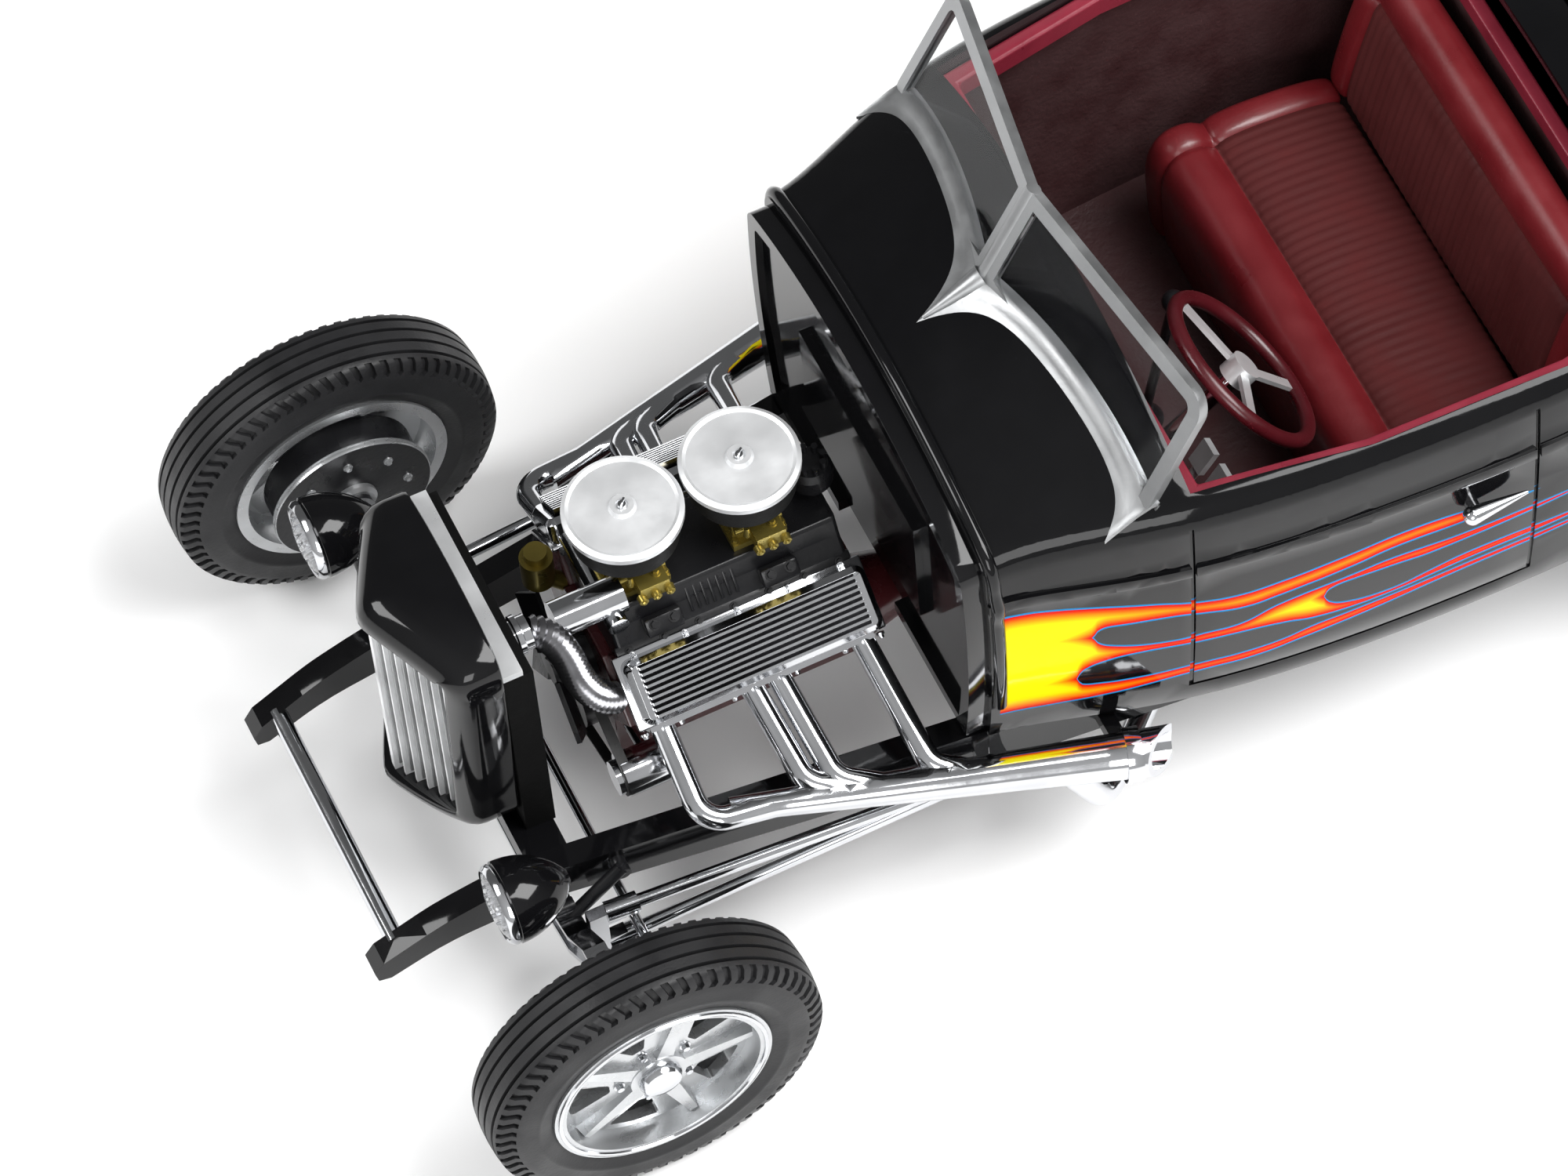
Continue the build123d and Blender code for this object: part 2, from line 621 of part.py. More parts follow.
# Distributor at the back of the manifold
dist_x = engine_rear_x + 1.2
distributor = Pos(dist_x, 0, 0) * ring(Polyline(
    (0, manifold_top), (1.0, manifold_top), (1.0, manifold_top + 0.9), (1.7, manifold_top + 1.2),
    (1.7, manifold_top + 2.6), (1.4, manifold_top + 3.2), (0, manifold_top + 3.2), close=True))
for index in range(8):
    angle = radians(45 * index)
    distributor += Pos(dist_x + 1.1 * cos(angle), 1.1 * sin(angle), manifold_top + 3.4) * Cylinder(0.26, 1.0)
nodes["distributor"] = [distributor]

# Water pump, pulleys and fan at the front of the engine
pump_height = 20.6
pump = rod((engine_front_x, 0, pump_height), (engine_front_x + 1.6, 0, pump_height), 2.4)
pump += rod((engine_front_x, 0, crank_height - 1.0), (engine_front_x + 1.6, 0, crank_height - 1.0), 2.6)
nodes["engine_pulleys"] = pump.solids()
fan_x = engine_front_x + 2.7
fan = rod((engine_front_x + 1.6, 0, pump_height), (fan_x + 0.5, 0, pump_height), 1.5)
for index in range(4):
    blade = Pos(fan_x, 0, 0) * Rot(90 * index + 45, 0, 0) * Pos(0, 0, 3.6) * Rot(0, 0, 24) * Box(0.4, 2.6, 5.0)
    fan += Pos(0, 0, pump_height) * blade
nodes["engine_pulleys"] = [trimmed(pump, fan) for pump in nodes["engine_pulleys"]] + [fan]
generator_y = 9.2
generator_height = 17.2
generator = rod((engine_front_x + 1.6, generator_y, generator_height), (engine_front_x - 3.4, generator_y, generator_height), 1.8)
generator += rod((engine_front_x + 2.2, generator_y, generator_height), (engine_front_x + 1.6, generator_y, generator_height), 1.4)
generator += rod((engine_front_x - 1.2, generator_y, generator_height), (engine_front_x - 1.2, 3.4, 16.2), 0.7)
nodes["generator"] = [trimmed(generator, block, head)]

# Water housing along the front of the manifold, and the hose from the radiator down to the engine
housing_y = 2.8
housing_radius = 1.5
housing_height = manifold_top + housing_radius - 0.2
water = rod((engine_front_x + 3.2, housing_y, housing_height), (engine_front_x - 2.4, housing_y, housing_height), housing_radius)
water += rod((engine_front_x - 1.2, -4.0, manifold_top + 0.4), (engine_front_x - 1.2, 5.0, manifold_top + 0.4), 0.85)
nodes["water_housing"] = [trimmed(water, manifold, *carbs)]
hose_y = 4.4
hose_radius = 1.2
neck_end = (shell_rear_x - radiator_depth - 1.4, hose_y, 34.4)
hose = tube([
    neck_end, (front_axle_x - 5.4, hose_y + 0.6, 33.8), (front_axle_x - 6.8, hose_y + 2.2, 24.8),
    (engine_front_x, hose_y + 1.6, 22.8)], 1.6, hose_radius)
hose += rod((shell_rear_x - radiator_depth + 0.2, hose_y, 34.4), neck_end, hose_radius + 0.35)
nodes["radiator_hose"] = [trimmed(hose, block, head, radiator, nodes["water_housing"][0])]
pump_x = engine_front_x + 1.5
fuel_pump = Pos(pump_x, -4.6, 27.2) * Cylinder(1.3, 3.0)
fuel_pump += Pos(pump_x, -4.6, 29.1) * Cylinder(0.9, 0.8)
fuel_pump += rod((pump_x, -4.6, 26.4), (engine_front_x - 0.6, -4.2, 24.0), 0.7)
nodes["fuel_pump"] = [trimmed(fuel_pump, block, mirror(head, about=Plane.XZ))]

# Bell housing and gearbox below the floor
gearbox_height = 12.3
bell_length = 5.4
gearbox_rear_x = crossmember_table[1][0] + crossmember_table[1][1] / 2
gearbox_length = engine_rear_x - gearbox_rear_x
gearbox_profile = Polyline(
    (0, 0), (3.5, 0), (3.5, 0.9), (2.4, bell_length), (2.4, gearbox_length - 2), (1.5, gearbox_length),
    (0, gearbox_length), close=True)
nodes["gearbox"] = [Pos(engine_rear_x, 0, gearbox_height) * Rot(0, -90, 0) * ring(gearbox_profile)]


# Exhaust: a header on each side with a widening collector cut off at a slant, then a pipe to the back
port_xs = [front_axle_x - s for s in (11.3, 18.7, 20.9, 27.9)]
collector_start = (front_axle_x - 13.4, 16.4, 18.6)
collector_end = (front_axle_x - 46.4, 25.0, 15.2)


def on_collector(x):
    t = (collector_start[0] - x) / (collector_start[0] - collector_end[0])
    return tuple(p + t * (q - p) for p, q in zip(collector_start, collector_end))


axis = Vector(*collector_end) - Vector(*collector_start)
collector = Solid.make_cone(
    primary_radius, collector_end_radius, axis.length, Plane(Vector(*collector_start), z_dir=axis))
slash = Plane(Vector(*collector_end) + Vector(1.2, 0, 0), z_dir=(-0.62, 0.75, 0.2))
collector = split(collector, bisect_by=slash, keep=Keep.BOTTOM)
mouth = on_collector(collector_end[0] + 6)
collector -= rod(mouth, collector_end, collector_end_radius - 0.55)
strap = (on_collector(collector_end[0] + 3.9), on_collector(collector_end[0] + 2.7))
collector += rod(*strap, collector_end_radius + 0.2) - rod(mouth, collector_end, collector_end_radius - 0.4)
flange_mid = bank_point(bank_half + 0.3, deck_height + 1.45)
header = in_bank(Pos(0, bank_half + 0.3, deck_height + 1.45) * Box(18.6, 0.6, 2.1))
header += collector
for x in port_xs:
    before = on_collector(x - 1.2)
    target = collector_start if x == port_xs[0] else on_collector(x - 5.0)
    elbow = (x - 0.8, before[1] - 1.2, before[2] + 0.9)
    if x == port_xs[0]:
        elbow = (x + 0.2, collector_start[1] + 0.3, collector_start[2] + 0.2)
        target = on_collector(collector_start[0] - 4.0)
    header += tube([(x, flange_mid[0] - 0.2, flange_mid[1] + 0.1), elbow, target], primary_bend, primary_radius)
left_header = trimmed(header, head, left_rail)
nodes["exhaust_headers"] = both_sides(left_header)
bracket_x = (strap[0][0] + strap[1][0]) / 2
bracket = Pos(bracket_x, on_collector(bracket_x)[1] - 3.4, on_collector(bracket_x)[2] - 1.2) * Box(1.2, 5.6, 1.4)
nodes["frame_crossmembers"] += both_sides(trimmed(bracket, left_header, left_rail))

pipe_radius = 1.0
pipe_y = 15.6
pipe_height = 9.6
pipe_start = on_collector(front_axle_x - 37.6)
pipe_end_x = rear_axle_x - rear_overhang + 2.5
tip_radius = 1.25
tip_length = 7.0
muffler_front_x = station(66.0)
muffler_length = 17.0 * cabin_stretch
pipe = tube([
    pipe_start, (pipe_start[0] - 3.4, pipe_start[1] + 0.8, pipe_height), (pipe_start[0] - 12, pipe_y, pipe_height),
    (pipe_end_x, pipe_y, pipe_height)], 2.2, pipe_radius)
pipe += rod((muffler_front_x, pipe_y, pipe_height), (muffler_front_x - muffler_length, pipe_y, pipe_height), 1.9)
pipe += rod((pipe_end_x + tip_length, pipe_y, pipe_height), (pipe_end_x, pipe_y, pipe_height), tip_radius)
hanger_table = [
    # x, height of the top end inside the rail
    (muffler_front_x - muffler_length / 2, rail_top - 2),
    (pipe_end_x + tip_length + 3.6, rail_top + 3),
]
for x, top in hanger_table:
    pipe += rod((x, pipe_y, pipe_height), (x, rail_half_width(x) - rail_wall / 2, top), 0.5)
pipe = trimmed(pipe, left_header, *nodes["frame_rails"])
nodes["exhaust_pipes"] = both_sides(pipe)

# Body: lofted through a few cross sections, hollow below, with the cockpit cut out of its crown
body_table = [
    # station behind the front axle, low half width, belt half width, shoulder half width, shoulder height, crown
    (firewall_back, 18.0, 19.4, 19.0, 40.8, 44.6),
    (44.0, 20.6, 21.8, 21.6, 42.2, 48.0),
    (dash_back, 22.1, 23.2, 23.2, 42.6, 48.9),
    (64.0, 23.8, 24.9, 24.8, 42.6, 49.0),
    (80.0, 24.2, 25.4, 25.2, 42.6, 48.4),
    (94.0, 23.4, 24.6, 24.0, 41.6, 45.0),
    (107.7, 21.2, 22.4, 21.4, 37.4, 40.2),
    (117.0, 18.4, 19.4, 17.6, 30.4, 32.6),
    (121.3, 16.8, 17.2, 14.6, 24.4, 26.0),
]
shoulder_radius = 2.6


def body_section(row, inset, bottom):
    # outline of one body section in Y and Z, drawn in by the inset everywhere but at the bottom
    _, low, belt, shoulder, shoulder_z, crown = row
    low, belt, shoulder = low - inset, belt - inset, shoulder - inset
    shoulder_z, crown = shoulder_z - inset, crown - inset
    belt_z = min(belt_height, bottom + 0.6 * (shoulder_z - bottom))
    outline = make_face([
        Line((-low, bottom), (low, bottom)),
        ThreePointArc((low, bottom), (belt, belt_z), (shoulder, shoulder_z)),
        ThreePointArc((shoulder, shoulder_z), (0, crown), (-shoulder, shoulder_z)),
        ThreePointArc((-shoulder, shoulder_z), (-belt, belt_z), (-low, bottom)),
    ])
    return Plane.YZ * fillet(outline.vertices().sort_by(Axis.Y)[-2:], shoulder_radius - inset)


def body_loft(inset, bottom):
    return loft([Pos(station(row[0]), 0, 0) * body_section(row, inset, bottom) for row in body_table])


cockpit_plan = [
    # x, half width
    (dash_x, 21.3),
    (station(64.0), 23.4),
    (station(80.0), 23.8),
    (station(86.5), 22.6),
    (cockpit_rear_x, 19.0),
]


def cockpit_volume(inset, bottom, top):
    edge = [(x - inset * (x == dash_x) + inset * (x == cockpit_rear_x), y - inset) for x, y in cockpit_plan]
    return plan_profile(edge + [(x, -y) for x, y in reversed(edge)], bottom, top)


body_outer = body_loft(0, body_bottom)
body_inner = body_loft(body_wall, body_bottom - 1)
open_front = Pos(tail_x + body_wall + 60, 0, 30) * Box(120, 60, 60)
shell_body = body_outer - (body_inner & open_front)
shell_body -= cockpit_volume(0, 20, 60)
under_rails = rail_side_top + [(rear_axle_x - rear_overhang, 0), (front_axle_x + front_overhang, 0)]
shell_body -= bent_profile(under_rails, 100)
shell_body += (body_loft(-belt_proud, body_bottom) & Pos(0, 0, belt_height) * Box(200, 60, belt_band)) - body_inner
groove_core = body_loft(groove_depth, body_bottom - 2)
door_middle_x = (door_front_x + door_rear_x) / 2
deck_middle_x = (deck_front_x + deck_rear_x) / 2
groove_table = [
    # x, z, length along x, width along y, height along z
    (door_front_x, 30.0, groove_width, 60, 2 * (30.0 - door_bottom)),
    (door_rear_x, 30.0, groove_width, 60, 2 * (30.0 - door_bottom)),
    (door_middle_x, door_bottom, door_front_x - door_rear_x + groove_width, 60, groove_width),
    (deck_front_x, 40.0, groove_width, 2 * deck_half_width, 30),
    (deck_rear_x, 40.0, groove_width, 2 * deck_half_width, 30),
]
grooves = [Pos(x, 0, z) * Box(length, width, height) for x, z, length, width, height in groove_table]
for side in (-1, 1):
    grooves.append(Pos(deck_middle_x, side * deck_half_width, 40) * Box(deck_front_x - deck_rear_x, groove_width, 30))
for groove in grooves:
    shell_body -= groove - groove_core
shell_body = max(shell_body.solids(), key=lambda s: s.volume)
nodes["body_shell"] = [shell_body]

# Firewall: a plate inside the cowl's edge with a raised bead round it and a stiffened middle
bead_height = 0.6
bead_width = 1.2
plate_inset = 0.5


def firewall_plate(inset, thickness):
    return Pos(firewall_x, 0, 0) * extrude(body_section(body_table[0], inset, body_bottom + inset), thickness)


firewall = firewall_plate(plate_inset, firewall_thickness + bead_height)
firewall -= Pos(firewall_thickness, 0, 0) * firewall_plate(plate_inset + bead_width, firewall_thickness)
firewall += Pos(firewall_x + firewall_thickness + bead_height / 2, 0, 29) * Box(bead_height, 20, 12)
firewall -= Pos(firewall_x, 0, body_bottom) * Box(6, 10, 4)
nodes["firewall"] = [firewall]

# Cabin lining with a floor, inside the shell
lining_front_x = firewall_x - 6
lining_zone = Pos((lining_front_x + cockpit_rear_x) / 2, 0, 28) * Box(lining_front_x - cockpit_rear_x, 60, 24.6)
lining_outer = body_loft(body_wall + seat_gap, body_bottom) & lining_zone
lining_inner = body_loft(body_wall + seat_gap + lining_wall, body_bottom + floor_thickness) & lining_zone
lining_cut = Pos((lining_front_x + cockpit_rear_x) / 2 + 1, 0, 40) * Box(lining_front_x - cockpit_rear_x, 60, 60)
lining = lining_outer - (lining_inner & lining_cut)
nodes["cabin_lining"] = [max(lining.solids(), key=lambda s: s.volume)]

rail_trim = cockpit_volume(0, 40.4, door_top - 0.2) - cockpit_volume(1.2, 30, 60)
nodes["cockpit_trim"] = [rail_trim]


# Seat: cushion with a rounded front roll and a leaning back with a top roll
floor_top = body_bottom + floor_thickness
roll = 2.4
cushion_face = make_face([
    Line((seat_rear_x, floor_top), (seat_front_x, floor_top)),
    Line((seat_front_x, floor_top), (seat_front_x, seat_height - roll)),
    ThreePointArc((seat_front_x, seat_height - roll), (seat_front_x - roll, seat_height), (seat_front_x - 2 * roll, seat_height - 0.7)),
    Line((seat_front_x - 2 * roll, seat_height - 0.7), (seat_rear_x, seat_height - 1.8)),
    Line((seat_rear_x, seat_height - 1.8), (seat_rear_x, floor_top)),
])
nodes["seat_cushion"] = [Pos(0, seat_half_width, 0) * extrude(Plane.XZ * cushion_face, 2 * seat_half_width)]
back_lean = 4.4
back_top_x = seat_rear_x - back_lean * 0.8
back_rear_x = back_top_x - 3.2
back_face = make_face([
    Line((seat_rear_x - 2.6, floor_top), (seat_rear_x, floor_top)),
    Line((seat_rear_x, floor_top), (seat_rear_x, seat_height - 1.8)),
    Line((seat_rear_x, seat_height - 1.8), (back_top_x, seat_top - 3.4)),
    ThreePointArc((back_top_x, seat_top - 3.4), (back_top_x - 1.6, seat_top), (back_rear_x, seat_top - 3.4)),
    Line((back_rear_x, seat_top - 3.4), (seat_rear_x - 2.6, floor_top)),
])
nodes["seat_back"] = [Pos(0, seat_half_width, 0) * extrude(Plane.XZ * back_face, 2 * seat_half_width)]

# Dashboard under the cowl's rear edge
dash_depth = 1.4
dash_blank = body_loft(body_wall + seat_gap, body_bottom) & Pos(dash_x + dash_depth / 2, 0, 50) * Box(dash_depth, 60, 26)
dash_panel = dash_blank
for y in (5.8, 10.4, 15.0):
    dash_panel -= Pos(dash_x, y, 41.4) * Rot(0, 90, 0) * Cylinder(1.6, 0.8)
nodes["dashboard"] = [trimmed(dash_panel, nodes["cabin_lining"][0])]

# Steering column and wheel, pedals and gear lever
tilt = radians(column_tilt)
column_dir = (cos(tilt), 0, -sin(tilt))
hub_depth = 1.0


def along_column(distance):
    return tuple(c + distance * d for c, d in zip(wheel_centre, column_dir))


column_end = along_column((wheel_centre[2] - floor_top + 0.6) / sin(tilt))
column = rod(along_column(hub_depth), column_end, column_radius)
column = trimmed(column, nodes["cabin_lining"][0], nodes["dashboard"][0], firewall)
nodes["steering_column"] = [column]
wheel_plane = Plane(Vector(*wheel_centre), x_dir=(0, 1, 0), z_dir=(-column_dir[0], 0, -column_dir[2]))
steering_wheel = wheel_plane * Torus(wheel_rim_radius, wheel_tube)
nodes["steering_wheel_rim"] = [steering_wheel]
spokes = wheel_plane * Pos(0, 0, -0.2) * Cylinder(1.3, 1.6)
for angle in (90, 210, 330):
    spoke = wheel_plane * Rot(0, 0, angle) * Pos(wheel_rim_radius / 2, 0, 0) * Box(wheel_rim_radius, 0.9, 0.35)
    spokes += spoke
nodes["steering_wheel_spokes"] = [trimmed(spokes, steering_wheel, column)]

lever_y = -1.6
lever_x = station(57.0)
lever_top = (station(59.8), lever_y, 31.4)
lever = rod((lever_x, lever_y, floor_top), lever_top, 0.4)
lever += Pos(lever_x, lever_y, floor_top) * Cone(1.6, 0.8, 1.4, align=(Align.CENTER, Align.CENTER, Align.MIN))
lever += Pos(*lever_top) * Sphere(0.95)
nodes["gear_lever"] = [lever]
pedal_x = station(58.6)
pedals = []
for y in (5.6, 8.2):
    pedal = Pos(pedal_x, y, floor_top + 3.4) * Rot(0, -35, 0) * Box(0.6, 1.7, 2.4)
    pedal += rod((pedal_x, y, floor_top + 3.2), (pedal_x + 2.0, y, floor_top), 0.4)
    pedals.append(trimmed(pedal, nodes["cabin_lining"][0]))
nodes["pedals"] = pedals


def spike(base, tip, radius):
    # a rod that narrows to a blunt point
    base, tip = Vector(*base), Vector(*tip)
    return Solid.make_cone(radius, 0.15, (tip - base).length, Plane(base, z_dir=tip - base))


# V windshield: two raked panes in a tapered frame that is cut to sit on the cowl
ws_mid_low = (front_axle_x - 43.6, 0, 48.2)
ws_mid_high = (front_axle_x - 48.1, 0, 56.8)
ws_end_high = (front_axle_x - 52.0, 20.9, 53.6)
ws_end_low = (front_axle_x - 46.0, 21.2, 42.0)
frame_width = 1.15
frame_depth = 0.9
spear_tip = (front_axle_x - 38.6, 0, 46.2)
foot_tip = (front_axle_x - 42.6, 21.0, 42.0)
pane_depth = 0.4
ws_plane = Plane(
    Vector(*ws_mid_low), x_dir=Vector(*ws_end_low) - Vector(*ws_mid_low),
    z_dir=(Vector(*ws_mid_high) - Vector(*ws_mid_low)).cross(Vector(*ws_end_low) - Vector(*ws_mid_low)))
ws_corners = [ws_plane.to_local_coords(Vector(*p)) for p in (ws_mid_low, ws_mid_high, ws_end_high, ws_end_low)]
ws_face = make_face(Polyline(*[(p.X, p.Y) for p in ws_corners], close=True))
ws_far = ws_face.vertices().sort_by(Axis.X)[-2:]
ws_face = fillet(ws_far, 2.0)
pane_face = offset(ws_face, -frame_width)
pane = Pos(0, 0, -pane_depth / 2) * extrude(pane_face, pane_depth)
frame_part = Pos(0, 0, -frame_depth / 2) * extrude(ws_face, frame_depth) - Pos(0, 0, -1) * extrude(pane_face, 2)
left_half = Pos(0, 30, 0) * Box(200, 60, 200)
pane = ws_plane * pane
frame_left = (ws_plane * frame_part) & left_half
frame_left += rod(ws_mid_low, ws_mid_high, 0.6) & left_half
frame_left += spike(ws_end_low, foot_tip, 1.0)
ws_frame = frame_left + mirror(frame_left, about=Plane.XZ)
ws_frame += spike(ws_mid_low, spear_tip, 1.0)
ws_frame = trimmed(ws_frame, body_outer, pane, mirror(pane, about=Plane.XZ))
nodes["windshield_frame"] = [ws_frame]
nodes["windshield_panes"] = both_sides(trimmed(pane, body_outer))

# Rear suspension: coil-over struts, trailing arms, propeller shaft, fuel tank and tail lamps
strut_y = 17.6
strut = rod((rear_axle_x - 2.4, strut_y, rear_axle_z), (rear_axle_x - 2.4, strut_y, 22.0), 0.9)
nodes["rear_struts"] = both_sides(trimmed(strut, housing, left_rail))
arm = rod((rear_axle_x + 1.2, 17.4, rear_axle_z - 0.9), (rear_axle_x + 32, 17.2, 12.6), 0.6)
arm += rod((rear_axle_x + 31.6, 17.2, 12.6), (rear_axle_x + 31.6, 19.8, 12.6), 0.6)
nodes["rear_radius_rods"] = both_sides(trimmed(arm, housing, left_rail))
shaft = rod((rear_axle_x + 6.1, 0, rear_axle_z), (gearbox_rear_x - 2, 0, gearbox_height), 0.9)
nodes["drive_shaft"] = [trimmed(shaft, housing, nodes["frame_crossmembers"][1])]
tank_x = rear_axle_x - 16.6
tank = Pos(tank_x, 0, 14.2) * Box(3.4, 24, 5.6)
tank = fillet(tank.edges().filter_by(Axis.Y), 1.0)
nodes["fuel_tank"] = [trimmed(tank, *nodes["spreader_bars"])]
lamp = rod((tail_x, 13.0, 20.4), (tail_x - 1.6, 13.0, 20.4), 1.2)
nodes["tail_lamps"] = both_sides(trimmed(lamp, body_outer))
handle_x = station(71.2)
handle_height = 32.4
handle = rod((handle_x, 24.0, handle_height), (handle_x, 26.4, handle_height), 0.55)
handle += spike((handle_x + 0.4, 26.2, handle_height), (handle_x - 4.2, 26.2, handle_height), 0.75)
handle += Pos(handle_x + 0.4, 26.2, handle_height) * Sphere(0.75)
nodes["door_handles"] = both_sides(trimmed(handle, body_outer))

os.makedirs("parts", exist_ok=True)
for name, solids in nodes.items():
    export_step(Compound(children=[s for shape in solids for s in shape.solids()]), f"parts/{name}.step")
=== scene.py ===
import json
import math

import bmesh
import bpy
from mathutils import Matrix, Vector
from mathutils.bvhtree import BVHTree


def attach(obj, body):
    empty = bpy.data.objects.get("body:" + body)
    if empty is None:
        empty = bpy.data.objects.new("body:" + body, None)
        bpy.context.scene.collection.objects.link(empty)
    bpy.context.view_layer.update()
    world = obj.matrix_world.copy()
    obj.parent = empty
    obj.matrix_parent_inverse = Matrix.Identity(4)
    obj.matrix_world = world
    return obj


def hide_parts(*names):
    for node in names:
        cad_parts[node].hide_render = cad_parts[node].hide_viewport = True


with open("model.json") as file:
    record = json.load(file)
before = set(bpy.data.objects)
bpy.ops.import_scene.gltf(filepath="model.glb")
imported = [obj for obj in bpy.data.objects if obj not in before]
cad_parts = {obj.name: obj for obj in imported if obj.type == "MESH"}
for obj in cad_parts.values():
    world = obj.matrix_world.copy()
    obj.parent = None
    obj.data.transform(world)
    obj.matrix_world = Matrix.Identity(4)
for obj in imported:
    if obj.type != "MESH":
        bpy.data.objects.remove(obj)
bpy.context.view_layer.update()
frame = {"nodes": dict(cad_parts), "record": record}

mm = 0.001
nodes = frame["nodes"]
scene = bpy.context.scene
print("stage: frame loaded, nodes", len(nodes))

# Camera, at the photograph's place
cameraSettings = {
    "place": (0.15079, 0.32873, 0.58621), "azimuth": 69.95, "elevation": 58.39, "roll": -6.0,
    "lens": 200.7, "sensor": 36.0,
}


def addCamera(settings):
    az, el, roll = (math.radians(settings[key]) for key in ("azimuth", "elevation", "roll"))
    back = Vector((math.cos(az) * math.cos(el), math.sin(az) * math.cos(el), math.sin(el)))
    level = Vector((-math.sin(az), math.cos(az), 0))
    above = back.cross(level)
    right = math.cos(roll) * level + math.sin(roll) * above
    up = -math.sin(roll) * level + math.cos(roll) * above
    data = bpy.data.cameras.new("photoCamera")
    data.lens = settings["lens"]
    data.sensor_width = settings["sensor"]
    data.clip_start = 0.01
    camera = bpy.data.objects.new("photoCamera", data)
    scene.collection.objects.link(camera)
    turn = Matrix((right, up, back)).transposed().to_4x4()
    camera.matrix_world = Matrix.Translation(settings["place"]) @ turn
    scene.camera = camera


addCamera(cameraSettings)


# Materials are built from nodes: a plain value is set on a socket, and a socket is linked to it
def addNode(tree, kind, inputs, **traits):
    node = tree.nodes.new("ShaderNode" + kind)
    for key, value in traits.items():
        setattr(node, key, value)
    for key, value in inputs.items():
        if isinstance(value, bpy.types.NodeSocket):
            tree.links.new(value, node.inputs[key])
        else:
            node.inputs[key].default_value = value
    return node


def mathNode(tree, kind, *sources):
    return addNode(tree, "Math", dict(enumerate(sources)), operation=kind).outputs[0]


def vectorNode(tree, kind, *sources):
    return addNode(tree, "VectorMath", dict(enumerate(sources)), operation=kind)


def spanNode(tree, source, fromMin, fromMax, toMin, toMax):
    ends = {"From Min": fromMin, "From Max": fromMax, "To Min": toMin, "To Max": toMax}
    return addNode(tree, "MapRange", {"Value": source, **ends}).outputs["Result"]


def objectPlace(tree):
    return tree.nodes.new("ShaderNodeTexCoord").outputs["Object"]


def addBump(tree, height, strength, distance):
    bump = addNode(tree, "Bump", {"Height": height, "Strength": strength, "Distance": distance})
    tree.links.new(bump.outputs["Normal"], tree.nodes["Principled BSDF"].inputs["Normal"])


def coverPaint(tree, share, color):
    # lays another colour over the finish's own, by the share
    paint = tree.nodes["Principled BSDF"].inputs["Base Color"]
    layers = {"Factor": share, "A": paint.links[0].from_socket, "B": color}
    tree.links.new(addNode(tree, "Mix", layers, data_type="RGBA").outputs["Result"], paint)


# Finishes, each with its own colour drift, roughness drift and surface grain
usualFinish = {
    "metallic": 0.0, "ior": 1.5, "coat": 0.0, "transmission": 0.0,
    "noiseScale": 260.0, "noiseDetail": 5.0,
    "noiseBand": (0.3, 0.7),  # the part of the noise that the drifts are spread over
    "colorSpread": 0.12, "roughSpread": 0.25, "bumpDetail": 3.0, "bumpDistance": 0.00005,
}
shaderSockets = {
    "metallic": "Metallic",
    "ior": "IOR",
    "coat": "Coat Weight",
    "transmission": "Transmission Weight",
}


def nodeMaterial(name, settings):
    mat = bpy.data.materials.new(name)
    mat.use_nodes = True
    tree = mat.node_tree
    shader = tree.nodes["Principled BSDF"]
    for key, socket in shaderSockets.items():
        shader.inputs[socket].default_value = settings[key]
    place = objectPlace(tree)
    drift = {"Vector": place, "Scale": settings["noiseScale"], "Detail": settings["noiseDetail"]}
    noise = addNode(tree, "TexNoise", drift).outputs["Fac"]
    ramp = addNode(tree, "ValToRGB", {"Fac": noise})
    spread = settings["colorSpread"]
    shares = (1 - spread, 1 + spread)
    for stop, position, share in zip(ramp.color_ramp.elements, settings["noiseBand"], shares):
        stop.position = position
        stop.color = (*(Vector(settings["color"]) * share), 1)
    tree.links.new(ramp.outputs["Color"], shader.inputs["Base Color"])
    base, spread = settings["rough"], settings["roughSpread"]
    rough = spanNode(tree, noise, *settings["noiseBand"], base * (1 - spread), base * (1 + spread))
    tree.links.new(rough, shader.inputs["Roughness"])
    if settings["bump"] > 0:
        grain = {"Vector": place, "Scale": settings["bumpScale"], "Detail": settings["bumpDetail"]}
        height = addNode(tree, "TexNoise", grain).outputs["Fac"]
        addBump(tree, height, settings["bump"], settings["bumpDistance"])
    return mat


def finish(color, rough, bump=0.0, bumpScale=0.0, **others):
    return {**usualFinish, "color": color, "rough": rough, "bump": bump, "bumpScale": bumpScale, **others}


